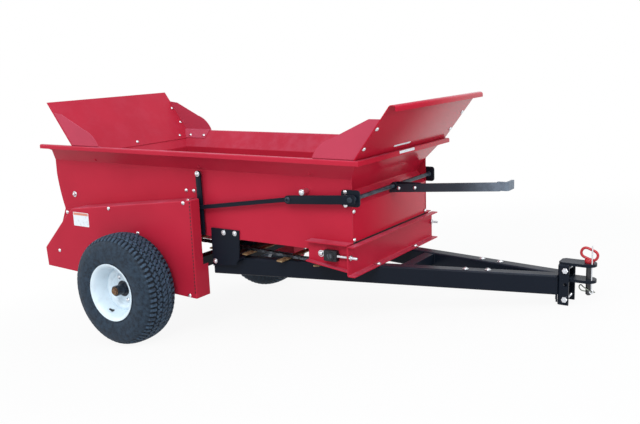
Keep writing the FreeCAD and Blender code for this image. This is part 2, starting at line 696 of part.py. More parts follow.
def return_run(offset, t):
    """Point of the lower run at a share t of its length, outside the chain's centre line;
    it hangs slack, lowest where it comes down to the drawbar."""
    lowest = math.log(0.5) / math.log(SAG_PEAK)
    hang = CHAIN_SAG * math.sin(math.pi * t ** lowest)
    return DRIVE_X + (IDLER_X - DRIVE_X) * t, APRON_Z - APRON_R - offset - hang


def chain_strand():
    """Closed strand of pintle chain, left-hand: straight links, each with a window that the
    sprockets' teeth stand in."""
    half = CHAIN_T / 2
    top = APRON_Z + APRON_R
    step = 2 * math.pi / SPROCKET_TEETH

    def loop(offset):
        outline = [return_run(offset, i / RUN_LINKS) for i in range(RUN_LINKS + 1)]
        r = APRON_R + offset / math.cos(step / 2)
        for x, first in ((IDLER_X, 0), (DRIVE_X, SPROCKET_TEETH // 2)):
            for i in range(SPROCKET_TEETH // 2 - 1, 0, -1):
                turn = step * (first + i)
                outline.append((x + r * math.sin(turn), APRON_Z + r * math.cos(turn)))
            if x == IDLER_X:
                outline += [(IDLER_X, top + offset), (DRIVE_X, top + offset)]
        return outline

    y0, y1 = CHAIN_Y - CHAIN_W / 2, CHAIN_Y + CHAIN_W / 2
    band = prism_y(loop(half), y0, y1).cut(prism_y(loop(-half), y0 - 1, y1 + 1))
    window = (CHAIN_PITCH - CHAIN_BARREL) / 2
    flat = APRON_R * math.cos(step / 2)
    windows = []
    for i in range(RUN_LINKS):
        x = DRIVE_X + CHAIN_PITCH * (i + 0.5)
        for z in (top, return_run(0, (i + 0.5) / RUN_LINKS)[1]):
            windows.append(box(x - window, x + window, y0 + CHAIN_BAR, y1 - CHAIN_BAR,
                               z - CHAIN_T, z + CHAIN_T))
    for x, side in ((DRIVE_X, -1), (IDLER_X, 1)):
        for i in range(SPROCKET_TEETH // 2):
            hole = box(x - window, x + window, y0 + CHAIN_BAR, y1 - CHAIN_BAR,
                       APRON_Z + flat - CHAIN_T, APRON_Z + flat + CHAIN_T)
            hole.rotate(V(x, 0, APRON_Z), V(0, 1, 0), side * math.degrees(step) * (i + 0.5))
            windows.append(hole)
    return band.cut(windows)


def apron_slats():
    """Flat slats across the two strands, each on the outside of its links."""
    slats = []
    wrap = SPROCKET_TEETH // 2
    flat = APRON_R * math.cos(math.pi / SPROCKET_TEETH)
    for link in range(0, 2 * (RUN_LINKS + wrap), SLAT_EVERY):
        slat = box(-SLAT_W / 2, SLAT_W / 2, -SLAT_L / 2, SLAT_L / 2, 0, SLAT_T)
        past_idler = link - RUN_LINKS
        past_drive = link - 2 * RUN_LINKS - wrap
        if past_idler < 0:
            slat.translate(V(DRIVE_X + CHAIN_PITCH * (link + 0.5), 0,
                             APRON_Z + APRON_R + CHAIN_T / 2))
        elif past_idler < wrap or past_drive >= 0:
            x, turn = (IDLER_X, past_idler) if past_idler < wrap else (DRIVE_X, past_drive + wrap)
            slat.translate(V(x, 0, APRON_Z + flat + CHAIN_T / 2))
            slat.rotate(V(x, 0, APRON_Z), V(0, 1, 0), 360 / SPROCKET_TEETH * (turn + 0.5))
        else:
            ends = (-past_drive / RUN_LINKS, (-past_drive - 1) / RUN_LINKS)
            (x0, z0), (x1, z1) = [return_run(CHAIN_T / 2, share) for share in ends]
            slat.rotate(V(0, 0, 0), V(0, 1, 0), 180 - math.degrees(math.atan2(z0 - z1, x0 - x1)))
            slat.translate(V((x0 + x1) / 2, 0, (z0 + z1) / 2))
        slats.append(slat)
    return Part.makeCompound(slats)


# ---------------------------------------------------------------- drawbar
def bar_bottom(x):
    return BAR_REAR_Z + BAR_RISE * (x - BAR_REAR_X) / (BAR_FRONT_X - BAR_REAR_X)


def bar_top(x):
    return bar_bottom(x) + BAR_H


def bar_outer(x):
    """Outer face of the left member, across the machine."""
    return BAR_REAR_Y - (x - BAR_REAR_X) * BAR_SPLAY


def drawbar_member():
    """Rectangular tube from the hopper bracket to the hitch, left-hand."""
    x0, x1 = BAR_REAR_X - 9, BAR_FRONT_X + 9
    slant = math.hypot(1, BAR_SPLAY)

    def core(wall, corner):
        outer, inner = wall * slant, (BAR_W - wall) * slant
        plan = prism_z([(x0, bar_outer(x0) - outer), (x1, bar_outer(x1) - outer),
                        (x1, bar_outer(x1) - inner), (x0, bar_outer(x0) - inner)], 0, LIP_TOP)
        side = prism_y([(x0, bar_bottom(x0) + wall), (x1, bar_bottom(x1) + wall),
                        (x1, bar_top(x1) - wall), (x0, bar_top(x0) - wall)],
                       -HOPPER_HALF_W, HOPPER_HALF_W + 1)
        return rounded(plan.common(side), corner, BAR_FRONT_X - BAR_REAR_X)

    member = core(0, BAR_CORNER).cut(core(BAR_T, BAR_CORNER - BAR_T))
    return member.common(box(BAR_REAR_X, BAR_FRONT_X, JOINT_GAP, HOPPER_HALF_W, 0, LIP_TOP))


def cross_tube(x):
    """Square tube welded between the two members."""
    z1 = bar_top(x) - BRACE_DROP
    z0 = z1 - BRACE
    half = bar_outer(x) - BAR_W
    tube = box(x, x + BRACE, -half, half, z0, z1)
    tube = tube.cut(box(x + BRACE_T, x + BRACE - BRACE_T, -half - 1, half + 1,
                        z0 + BRACE_T, z1 - BRACE_T))
    width = BAR_W * math.hypot(1, BAR_SPLAY) + JOINT_GAP
    for sign in (-1, 1):
        beyond = prism_z([(x - 5, sign * (bar_outer(x - 5) - width)),
                          (x + BRACE + 5, sign * (bar_outer(x + BRACE + 5) - width)),
                          (x + BRACE + 5, sign * 2 * half), (x - 5, sign * 2 * half)], 0, LIP_TOP)
        tube = tube.cut(beyond)
    return tube


def hopper_bracket():
    """Thick plate from the side panel down to the drawbar, with a foot on top of it."""
    y0, y1 = SIDE_FACE, SIDE_FACE + BRACKET_T
    x0, x1 = BAR_REAR_X, BAR_REAR_X + PLATE_L
    low, top = bar_top(x0) - PLATE_DOWN, SIDE_BOTTOM + PLATE_UP
    plate = prism_y([(x0, low), (x1 - 24, low + 16), (x1 - 6, low + 46), (x1, top), (x0, top)],
                    y0, y1)
    seat = bar_top(x1 - 6)
    foot = prism_z([(x0, y1 - 1), (x1 - 6, y1 - 1), (x1 - 6, bar_outer(x1) - PLATE_FOOT),
                    (x0, bar_outer(x0) - PLATE_FOOT)], seat, seat + BRACKET_T)
    return fused(plate, foot)


def hitch_channel():
    """Upright channel welded to the nose of the drawbar, with a row of height holes."""
    x0, x1 = BAR_FRONT_X + JOINT_GAP, BAR_FRONT_X + HITCH_DEPTH
    half = HITCH_W / 2
    path = [(x1, half), (x0, half), (x0, -half), (x1, -half)]
    channel = prism_z(bent(path, HITCH_T, HITCH_BEND), HITCH_BOTTOM, HITCH_TOP)
    for i in range(3):
        channel = channel.cut(rod_y(HOLE_X, HOLE_LOW + i * HOLE_PITCH, HOLE_R,
                                    -half - 5, half + 5))
    return channel


def clevis():
    """Welded clevis: a channel that fits inside the upright one, and two ears for the pin."""
    x0 = BAR_FRONT_X + JOINT_GAP + HITCH_T
    x1 = BAR_FRONT_X + HITCH_DEPTH - CLEVIS_BACK
    half = HITCH_W / 2 - HITCH_T
    path = [(x1, half), (x0, half), (x0, -half), (x1, -half)]
    seat = HITCH_TOP + JOINT_GAP
    body = prism_z(bent(path, CLEVIS_T, HITCH_BEND - CLEVIS_T), HOLE_LOW - CLEVIS_END, seat)
    w = EAR_W / 2
    tip = PIN_X + EAR_NOSE
    for start, low in ((BAR_FRONT_X, seat), (x0 + CLEVIS_T - 1, seat - EAR_GAP - EAR_T)):
        ear = prism_z([(start + EAR_T, -w), (PIN_X - 5, -w), (tip, 0, PIN_X - 5, w),
                       (start + EAR_T, w), (start, w - EAR_T), (start, EAR_T - w)],
                      low, low + EAR_T)
        body = fused(body, ear)
    body = body.cut(rod((PIN_X, 0, HITCH_BOTTOM), (PIN_X, 0, LIP_TOP), PIN_D / 2 + 0.5))
    for i in range(3):
        body = body.cut(rod_y(HOLE_X, HOLE_LOW + i * HOLE_PITCH, HOLE_R, -half - 5, half + 5))
    return body


def pin_foot():
    """Height of the tip of the drop pin."""
    return HITCH_TOP + JOINT_GAP - EAR_GAP - EAR_T - PIN_BELOW


def hitch_pin():
    """Drop pin with a collar and an oval loop handle, and a cross hole for its clip."""
    seat = HITCH_TOP + EAR_T + 2 * JOINT_GAP
    foot = pin_foot()
    pin = rod((PIN_X, 0, foot), (PIN_X, 0, seat), PIN_D / 2)
    collar = rod((PIN_X, 0, seat), (PIN_X, 0, seat + PIN_COLLAR_H), PIN_COLLAR_R)
    reach = (LOOP_L - LOOP_H) / 2
    x, z = PIN_X, seat + PIN_COLLAR_H + LOOP_H / 2 - LOOP_WIRE / 2
    w = LOOP_WIRE / 2
    loop = prism_y(bar_outline(x - reach, z, x + reach, z, LOOP_H), -w, w)
    loop = loop.cut(prism_y(bar_outline(x - reach, z, x + reach, z, LOOP_H - 2 * LOOP_WIRE),
                            -w - 1, w + 1))
    z = foot + CLIP_UP
    hole = rod((PIN_X - PIN_D, 0, z), (PIN_X + PIN_D, 0, z), CLIP_R + JOINT_GAP)
    return fused(pin, collar, loop).cut(hole)


def hairpin():
    """Spring clip of square wire: one leg through the foot of the pin, the other beside it."""
    z = pin_foot() + CLIP_UP
    w = CLIP_R * 0.7
    x0, x1 = PIN_X - 3 * CLIP_CURL_R, PIN_X + CLIP_CURL_R + 8
    path = [(x1, z - w), (x0, z - w), (x0 - 6, z + CLIP_CURL_R / 2), (x0 + 4, z + CLIP_CURL_R),
            (x1 - 18 - PIN_D, z + CLIP_CURL_R)]
    return prism_y(bent(path[::-1], 2 * w, None), -w, w)


def clevis_bolts():
    """Two bolts through the channel's flanges and the clevis, with nuts on the left."""
    half = HITCH_W / 2 + JOINT_GAP
    bolts = []
    for z in (HOLE_LOW, HOLE_LOW + 2 * HOLE_PITCH):
        shank = rod_y(HOLE_X, z, BOLT_R, -half, half + BOLT_NUT_T + BOLT_END)
        head = hexagon((HOLE_X, -half - BOLT_HEAD_T, z), (HOLE_X, -half, z), BOLT_HEAD)
        nut = hexagon((HOLE_X, half, z), (HOLE_X, half + BOLT_NUT_T, z), BOLT_HEAD)
        bolts.append(fused(shank, head, nut))
    return Part.makeCompound(bolts)


nodes["idler_housing"] = idler_housing()
pair("housing_side", housing_side())
pair("take_up", take_up())
nodes["idler_shaft"] = apron_shaft(IDLER_X, HOUSING_WEB_Y + TAKE_UP_W + 4)
nodes["apron_drive_shaft"] = apron_shaft(DRIVE_X, HOPPER_HALF_W + DRIVE_SHAFT_END)
pair("apron_chain", chain_strand())
nodes["apron_slats"] = apron_slats()
pair("drawbar", drawbar_member())
nodes["drawbar_brace"] = cross_tube(BRACE_X)
nodes["drawbar_rear_brace"] = cross_tube(BAR_REAR_X + REAR_BRACE_IN)
pair("hopper_bracket", hopper_bracket())
nodes["hitch_channel"] = hitch_channel()
nodes["clevis"] = clevis()
nodes["clevis_bolts"] = clevis_bolts()
nodes["hitch_pin"] = hitch_pin()
nodes["hairpin"] = hairpin()


# ---------------------------------------------------------------- axle and wheels
def axle():
    """Square beam with a bracket and a stub at each end, welded up."""
    half = HOPPER_HALF_W
    w, core = BEAM / 2, BEAM / 2 - BEAM_T
    beam = box(-w, w, -half, half, AXLE_Z - w, AXLE_Z + w)
    beam = beam.cut(box(-core, core, -half - 1, half + 1, AXLE_Z - core, AXLE_Z + core))
    foot, wide, top = BEAM * 0.8, AXLE_PLATE_W / 2, SIDE_BOTTOM + AXLE_PLATE_UP
    outline = [(-foot, AXLE_Z - foot), (foot, AXLE_Z - foot), (wide, AXLE_Z + 30),
               (wide, top), (-wide, top), (-wide, AXLE_Z + 30)]
    plate = prism_y(outline, half - 1, SIDE_FACE + BRACKET_T)
    plate = plate.cut(box(-wide - 1, wide + 1, half - 2, SIDE_FACE, SIDE_BOTTOM - 2, top + 1))
    stub = rod_y(0, AXLE_Z, STUB_D / 2, SIDE_FACE, DISC_Y + HUB_OUT + 6)
    return fused(beam, plate, mirrored(plate), stub, mirrored(stub))


def tyre():
    """Low-pressure tyre, left-hand: beads, bulging sidewalls and a nearly flat tread."""
    r, w, bead = TYRE_D / 2, TYRE_W / 2, RIM_D / 2
    half = [(RIM_W / 2 - 6, bead), (RIM_W / 2 - 3, RIM_FLANGE_D / 2)]
    half += [(w - inward, r - down) for inward, down in TYRE_SECTION]
    profile = [(WHEEL_Y - y, radius) for y, radius in half]
    profile += [(WHEEL_Y + y, radius) for y, radius in half[::-1]]
    return turned(profile, 0, AXLE_Z)


def wheel():
    """Pressed wheel: flanged barrel with a well, and a dished disc, left-hand."""
    y0, y1 = WHEEL_Y - RIM_W / 2, WHEEL_Y + RIM_W / 2
    seat, lip = RIM_D / 2, RIM_FLANGE_D / 2
    well, foot = seat - RIM_WELL, 5.5
    path = [(y1, lip), (y1 - foot, seat), (DISC_Y + RIM_WELL, seat), (DISC_Y, well),
            (y0 + foot + RIM_WELL, well), (y0 + foot, seat), (y0, lip)]
    barrel = turned(bent(path, RIM_T, None), 0, AXLE_Z)
    edge = well - RIM_T / 2
    dish = [(DISC_Y, COLLAR_R + 0.2), (DISC_Y, DISH_R), (DISC_Y + DISH_H, DISH_TOP_R),
            (DISC_Y - 1, edge), (DISC_Y - DISC_T, edge), (DISC_Y - DISC_T, COLLAR_R + 0.2)]
    return fused(barrel, turned(dish, 0, AXLE_Z))


def hub():
    """Hub tube with the flange and collar that the disc is bolted to, left-hand."""
    back = DISC_Y - DISC_T - JOINT_GAP
    tube, bore = HUB_D / 2, STUB_D / 2 + RUN_GAP
    y0, y1 = DISC_Y - HUB_IN, DISC_Y + HUB_OUT
    return turned([(y0, bore), (y0, tube), (back - HUB_FLANGE_T, tube),
                   (back - HUB_FLANGE_T, HUB_FLANGE_D / 2), (back, HUB_FLANGE_D / 2),
                   (back, COLLAR_R), (DISC_Y + COLLAR_OUT, COLLAR_R), (DISC_Y + COLLAR_OUT, tube),
                   (y1, tube), (y1, bore)], 0, AXLE_Z)


nodes["axle"] = axle()
pair("tyre", tyre())
pair("wheel", wheel())
pair("hub", hub())


# ---------------------------------------------------------------- covers and rotor
def drive_cover(slotted):
    """Folded box over the drive, open towards the hopper and below, left-hand."""
    y0 = SIDE_FACE + COVER_STAND
    t = COVER_T
    top = [(COVER_FRONT - 1, COVER_TOP_FRONT), COVER_BEND, COVER_KNEE,
           (COVER_REAR, COVER_TOP_REAR)]
    solid = prism_y([(COVER_REAR + 7, COVER_LOW_REAR), (COVER_FRONT, COVER_LOW_FRONT)] + top,
                    y0, COVER_Y)
    edges = [edge for edge in solid.Edges if edge.BoundBox.YMin > COVER_Y - 0.01
             and edge.BoundBox.ZMax > COVER_TOP_REAR + 1]
    edges += [edge for edge in solid.Edges if edge.BoundBox.YMin < y0 + 0.01 < COVER_Y - 0.01
              < edge.BoundBox.YMax and edge.BoundBox.ZMax > COVER_TOP_FRONT - 1]
    solid = solid.makeFillet(COVER_R, edges)
    inner = [(COVER_REAR + 7 + t, COVER_LOW_FRONT - 21), (COVER_FRONT - t, COVER_LOW_FRONT - 21),
             (COVER_FRONT - 1 - t, COVER_TOP_FRONT - t), (COVER_BEND[0], COVER_BEND[1] - t),
             (COVER_KNEE[0] + t, COVER_KNEE[1] - t), (COVER_REAR + t, COVER_TOP_REAR)]
    cover = solid.cut(prism_y(inner, y0 - 1, COVER_Y - t))
    cover = cover.cut(rod_y(0, AXLE_Z, HUB_D / 2 + COVER_HOLE, COVER_Y - 20, COVER_Y + 5))
    if slotted:
        cover = cover.cut(box(SLOT_REAR, COVER_FRONT + 21, HOPPER_HALF_W - 5,
                              HOPPER_HALF_W + COVER_SLOT, SLOT_LOW, COVER_TOP_FRONT + 21))
    return cover


def rotor():
    """Throwing rotor: tube core with straight blades on a through shaft."""
    half = HOPPER_HALF_W - SHEET - ROTOR_CLEAR
    core = rod_y(ROTOR_X, ROTOR_Z, ROTOR_CORE_R, -half, half)
    core = core.cut(rod_y(ROTOR_X, ROTOR_Z, ROTOR_CORE_R - ROTOR_CORE_T,
                          ROTOR_BLADE_T - half, half - ROTOR_BLADE_T))
    shaft = rod_y(ROTOR_X, ROTOR_Z, ROTOR_SHAFT_R, -HOPPER_HALF_W - ROTOR_BOSS_OUT - 4,
                  HOPPER_HALF_W + ROTOR_DRIVE_END)
    parts = [core, shaft]
    for i in range(ROTOR_BLADES):
        blade = box(ROTOR_X + ROTOR_CORE_R - ROTOR_CORE_T / 2, ROTOR_X + ROTOR_R, -half, half,
                    ROTOR_Z - ROTOR_BLADE_T / 2, ROTOR_Z + ROTOR_BLADE_T / 2)
        blade.rotate(V(ROTOR_X, 0, ROTOR_Z), V(0, 1, 0), 360 / ROTOR_BLADES * i)
        parts.append(blade)
    return fused(*parts)


nodes["drive_cover_left"] = drive_cover(False)
nodes["drive_cover_right"] = mirrored(drive_cover(True))
nodes["rotor"] = rotor()


# ---------------------------------------------------------------- clutch handle
def bearing_plate():
    """Rounded plate on the side panel that carries the cross shaft, left-hand."""
    y0, y1 = SIDE_FACE, SIDE_FACE + PLATE_T
    plate = prism_y(bar_outline(SHAFT_X - PLATE_BACK, SHAFT_Z, SHAFT_X, SHAFT_Z, PLATE_H), y0, y1)
    return plate.cut(rod_y(SHAFT_X, SHAFT_Z, SHAFT_R + RUN_GAP, y0 - 1, y1 + 1))


def arm_end():
    a = math.radians(ARM_DROP)
    return SHAFT_X - ARM_LEN * math.cos(a), SHAFT_Z - ARM_LEN * math.sin(a)


LEVER_Y = HOPPER_HALF_W + LEVER_STAND     # inner face of the clutch lever
LINK_Y = LEVER_Y + LEVER_T + FACE_GAP     # inner face of the link
ARM_Y = LINK_Y + LINK_T + FACE_GAP        # inner face of the arm


def cross_shaft():
    """Shaft across the front with the arm at its right-hand end and the handle lug."""
    shaft = rod_y(SHAFT_X, SHAFT_Z, SHAFT_R, -ARM_Y - ARM_T - SHAFT_END,
                  SIDE_FACE + PLATE_T + SHAFT_END)
    x, z = arm_end()
    arm = prism_y(bar_outline(x, z, SHAFT_X, SHAFT_Z, ARM_H, ARM_H / 2, ARM_BOSS_R),
                  -ARM_Y - ARM_T, -ARM_Y)
    arm = arm.cut(rod_y(x, z, ARM_PIN_R + RUN_GAP, -ARM_Y - ARM_T - 1, 1 - ARM_Y))
    low, high, front = SHAFT_Z - LUG_H / 2, SHAFT_Z + LUG_H / 2, SHAFT_X + LUG_L
    lug = prism_y([(SHAFT_X, low), (front, low + 2), (front + 9, SHAFT_Z), (front, high + 2),
                   (SHAFT_X, high)], 0, HANDLE_T)
    return fused(shaft, arm, lug)


def handle():
    """Flat-bar handle bolted to the lug, its grip end bent aside."""
    rise = math.tan(math.radians(HANDLE_RISE))
    x0, x1 = SHAFT_X - HANDLE_BACK, SHAFT_X + HANDLE_LEN
    z0 = SHAFT_Z - HANDLE_DROP
    z1 = z0 + (x1 - x0) * rise
    half = HANDLE_H / 2
    bar = prism_y([(x0, z0 - half), (x1, z1 - half), (x1, z1 + half), (x0, z0 + half)],
                  -HANDLE_T - JOINT_GAP, -JOINT_GAP)
    grip = prism_z(bent([(x1 - 40, -JOINT_GAP - HANDLE_T), (x1, -JOINT_GAP - HANDLE_T),
                         (x1, GRIP_W)], HANDLE_T), z1 - half, z1 + half)
    bar = fused(bar.common(box(x0, x1 - 30, -GRIP_W, GRIP_W, 0, LIP_TOP + HANDLE_LEN)), grip)
    return bar.cut(rod_y(SHAFT_X, SHAFT_Z, SHAFT_R + 0.1, -GRIP_W, GRIP_W))


def link():
    """Flat link from the arm to the clutch lever, with its front pin."""
    x, z = arm_end()
    bar = prism_y(bar_outline(x, z, LEVER_X, LEVER_PIN_Z, LINK_H), -LINK_Y - LINK_T, -LINK_Y)
    pin = rod_y(x, z, ARM_PIN_R, -ARM_Y - ARM_T - LEVER_BOLT_HEAD_T, -LINK_Y - 1)
    return fused(bar, pin)


def clutch_lever():
    """Upright flat lever hung from a bolt under the flare, its foot inside the cover."""
    bar = prism_y(bar_outline(LEVER_X, LEVER_FOOT_Z, LEVER_X, LEVER_Z, LEVER_W),
                  -LEVER_Y - LEVER_T, -LEVER_Y)
    return bar.cut(rod_y(LEVER_X, LEVER_Z, LEVER_BOLT_R + RUN_GAP, -LEVER_Y - LEVER_T - 1,
                         1 - LEVER_Y))


def lever_pivot():
    """Shouldered bolt that the clutch lever hangs on."""
    outer = LEVER_Y + LEVER_T + WASHER_GAP
    shank = rod_y(LEVER_X, LEVER_Z, LEVER_BOLT_R, -outer - 1, -SIDE_FACE)
    head = hexagon((LEVER_X, -outer - LEVER_BOLT_HEAD_T, LEVER_Z), (LEVER_X, -outer, LEVER_Z),
                   LEVER_BOLT_HEAD)
    spacer = hexagon((LEVER_X, WASHER_GAP - LEVER_Y, LEVER_Z), (LEVER_X, -SIDE_FACE, LEVER_Z),
                     LEVER_BOLT_HEAD)
    return fused(shank, head, spacer)


def arm_stop():
    """Stud with a sleeve that the arm rests under."""
    a = math.radians(ARM_DROP)
    away = ARM_H / 2 + STOP_R + STOP_GAP
    x = SHAFT_X - STOP_REACH * math.cos(a) - away * math.sin(a)
    z = SHAFT_Z - STOP_REACH * math.sin(a) + away * math.cos(a)
    end = ARM_Y + ARM_T + 2
    return fused(rod_y(x, z, STOP_R, -end, -SIDE_FACE),
                 rod_y(x, z, LEVER_BOLT_R, -end - LEVER_BOLT_HEAD_T, -SIDE_FACE))


pair("bearing_plate", bearing_plate())
nodes["cross_shaft"] = cross_shaft()
nodes["handle"] = handle()
nodes["link"] = link()
nodes["clutch_lever"] = clutch_lever()
nodes["lever_pivot"] = lever_pivot()
nodes["arm_stop"] = arm_stop()


# ---------------------------------------------------------------- parked pose and export
def park_angle():
    """Nose-down angle at which the foot of the hitch channel meets the floor."""
    along = BAR_FRONT_X + HITCH_DEPTH
    above = HITCH_BOTTOM - AXLE_Z
    return math.degrees(math.atan2(above, along) + math.asin(AXLE_Z / math.hypot(along, above)))


def parked(shape):
    standing = shape.copy()
    standing.rotate(V(0, 0, AXLE_Z), V(0, 1, 0), park_angle())
    return standing


def main():
    os.makedirs("parts", exist_ok=True)
    standing = {name: parked(shape) for name, shape in nodes.items()}
    bounds = Part.makeCompound(list(standing.values())).optimalBoundingBox(False, False)
    shift = V(-(bounds.XMin + bounds.XMax) / 2, -(bounds.YMin + bounds.YMax) / 2, -bounds.ZMin)
    for name, shape in standing.items():
        shape.translate(shift)
        shape.exportStep(os.path.join("parts", name + ".step"))
    print("nose down %.4f deg, shift %.3f %.3f %.3f" % (park_angle(), shift.x, shift.y, shift.z))


main()
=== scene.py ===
"""Dresses the towed topdresser: paint, rubber, fastenings and the forms that are finer than
its solids. Sizes are in millimetres of the machine's own frame, in which it stands level:
x forward from the axle, y to the left, z up from the tyres' tread.
"""
import json
import math

import bmesh
import bpy
import numpy as np
from mathutils import Matrix, Vector


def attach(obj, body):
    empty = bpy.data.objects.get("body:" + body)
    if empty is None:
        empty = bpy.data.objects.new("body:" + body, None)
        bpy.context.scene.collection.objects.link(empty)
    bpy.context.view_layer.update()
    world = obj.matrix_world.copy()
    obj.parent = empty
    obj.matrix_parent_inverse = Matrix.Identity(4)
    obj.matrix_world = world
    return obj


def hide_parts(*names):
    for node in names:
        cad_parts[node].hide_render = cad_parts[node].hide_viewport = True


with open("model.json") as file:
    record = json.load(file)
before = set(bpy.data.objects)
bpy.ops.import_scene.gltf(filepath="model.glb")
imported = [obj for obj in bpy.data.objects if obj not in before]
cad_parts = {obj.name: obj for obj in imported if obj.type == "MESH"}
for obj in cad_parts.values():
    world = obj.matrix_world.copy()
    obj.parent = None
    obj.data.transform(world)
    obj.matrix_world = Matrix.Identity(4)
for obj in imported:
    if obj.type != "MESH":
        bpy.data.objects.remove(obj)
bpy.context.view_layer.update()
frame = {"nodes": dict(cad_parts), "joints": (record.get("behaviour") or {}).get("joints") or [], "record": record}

# -------------------------------- stance, camera and light
# The unhitched machine stands nose-down, on its tyres and the foot of its hitch. It is seen
# from its right-hand side, ahead of the axle, at chest height, under an overcast sky, and
# it stands on a pale floor that fades into a white backdrop.
MM = 0.001
TYRE_R = 228.5
CAMERA_AT = (2386.9, -2587.1, 1144.9)
CAMERA_LENS = 44.163
YAW, PITCH, ROLL = math.radians(33.733), math.radians(11.513), math.radians(-2.033)
FLOOR_HALF = 40.0           # metres
mounts = {mount["name"]: mount for mount in frame["record"]["mounts"]}
joints = {joint["name"]: joint for joint in frame["joints"]}
up = Vector(mounts["hitch_clevis"]["axis"]).normalized()
ahead = Vector((up.z, 0, -up.x))
axle_middle = Vector(joints["wheel_left_spin"]["pos_m"])
axle_middle.y = 0
machine = Matrix((ahead, Vector((0, 1, 0)), up)).transposed().to_4x4()
machine.translation = axle_middle - up * TYRE_R * MM


def at(x, y, z):
    """A point of the level machine, in millimetres, where it is in the scene."""
    return machine @ (Vector((x, y, z)) * MM)


camera_data = bpy.data.cameras.new("camera")
camera_data.sensor_fit = "HORIZONTAL"
camera_data.sensor_width = 36.0
camera_data.lens = CAMERA_LENS
camera_data.clip_start = 0.05
camera_data.clip_end = 100.0
camera = bpy.data.objects.new("camera", camera_data)
bpy.context.scene.collection.objects.link(camera)
bpy.context.scene.camera = camera
camera.matrix_world = (machine @ Matrix.Translation(Vector(CAMERA_AT) * MM)
                       @ Matrix.Rotation(YAW, 4, "Z")
                       @ Matrix.Rotation(math.pi / 2 - PITCH, 4, "X")
                       @ Matrix.Rotation(ROLL, 4, "Z"))


class Shade:
    """A shader socket that stands in a sum; each operation adds its Math node."""

    def __init__(self, tree, socket=None):
        self.tree, self.socket = tree, socket

    def node(self, kind, settings=None, inputs=None, out=None):
        """Adds a node: its settings, then the values or links of its sockets."""
        made = self.tree.nodes.new("ShaderNode" + kind)
        for name, value in (settings or {}).items():
            setattr(made, name, value)
        for name, value in (inputs or {}).items():
            if isinstance(name, int):
                socket = made.inputs[name]
            else:
                socket = next(s for s in made.inputs if s.name == name and s.enabled)
            if isinstance(value, Shade):
                self.tree.links.new(value.socket, socket)
            else:
                socket.default_value = value
        results = [s for s in made.outputs if s.enabled and out in (None, s.name)]
        return Shade(self.tree, results[0] if results else None)

    def sum(self, operation, a, b=0.0):
        return self.node("Math", {"operation": operation}, {0: a, 1: b})

    def __add__(self, other):
        return self.sum("ADD", self, other)

    __radd__ = __add__

    def __mul__(self, other):
        return self.sum("MULTIPLY", self, other)

    __rmul__ = __mul__

    def within(self, low, high):
        """0 below low, 1 above high, smooth between."""
        return self.node("MapRange", {"interpolation_type": "SMOOTHSTEP"},
                         {"Value": self, "From Min": low, "From Max": high})

    def mix(self, factor, a, b):
        """Colour a where the factor is 0, colour b where it is 1."""
        a, b = [c if isinstance(c, Shade) else (*c, 1.0) for c in (a, b)]
        return self.node("Mix", {"data_type": "RGBA"}, {"Factor": factor, "A": a, "B": b})


def bare_material(name):
    """The shade that builds a new material, which holds nothing yet."""
    material = bpy.data.materials.new(name)
    material.use_nodes = True
    material.node_tree.nodes.clear()
    shade = Shade(material.node_tree)
    shade.material = material
    return shade


def looked_at(shade):
    """1 where the eye, a reflection or glass looks at the backdrop, 0 for its light."""
    seen = [shade.node("LightPath", out=ray)
            for ray in ("Is Camera Ray", "Is Glossy Ray", "Is Transmission Ray")]
    return shade.sum("MAXIMUM", shade.sum("MAXIMUM", seen[0], seen[1]), seen[2])


floor_mesh = bpy.data.meshes.new("floor")
floor_mesh.from_pydata([(x * FLOOR_HALF, y * FLOOR_HALF, 0)
                        for x, y in ((-1, -1), (1, -1), (1, 1), (-1, 1))], [], [(0, 1, 2, 3)])
floor = bpy.data.objects.new("floor", floor_mesh)
shade = bare_material("studio_floor")
away = shade.node("VectorMath", {"operation": "LENGTH"},
                  {0: shade.node("TexCoord", out="Object")}, out="Value")
matt = shade.node("BsdfDiffuse", inputs={"Color": (0.62, 0.62, 0.62, 1.0)})
white = shade.node("Emission", inputs={"Color": (1.0, 1.0, 1.0, 1.0), "Strength": 1.0})
share = looked_at(shade) * (0.92 + 0.08 * away.within(1.5, 3.0))
shade.node("OutputMaterial", inputs={
    "Surface": shade.node("MixShader", inputs={0: share, 1: matt, 2: white})})
floor.data.materials.append(shade.material)
bpy.context.scene.collection.objects.link(floor)

world = bpy.data.worlds.new("overcast")
bpy.context.scene.world = world
world.use_nodes = True
world.node_tree.nodes.clear()
sky = Shade(world.node_tree)
height = sky.node("SeparateXYZ", inputs={"Vector": sky.node("TexCoord", out="Generated")},
                  out="Z")
dome = sky.mix(height.within(-0.1, 0.8), (0.60, 0.62, 0.66), (0.94, 0.97, 1.0))
sky.node("OutputWorld", inputs={"Surface": sky.node("Background", inputs={
    "Color": sky.mix(looked_at(sky), dome, (1.0, 1.0, 1.0)), "Strength": 1.0})})
bpy.context.scene.view_settings.view_transform = "Standard"


def soft_lamp(name, place, size, watts):
    """Round area lamp, its size and place in metres, that looks at the machine's middle."""
    data = bpy.data.lights.new(name, "AREA")
    data.shape = "DISK"
    data.size = size
    data.energy = watts
    lamp = bpy.data.objects.new(name, data)
    lamp.location = place
    facing = Vector((0.0, 0.0, 0.4)) - Vector(place)
    lamp.rotation_euler = facing.to_track_quat("-Z", "Y").to_euler()
    bpy.context.scene.collection.objects.link(lamp)


soft_lamp("key", (2.2, -4.2, 4.2), 3.5, 190)
soft_lamp("fill", (-4.5, -3.0, 3.0), 3.0, 50)
soft_lamp("front", (5.5, -0.8, 1.6), 2.5, 75)


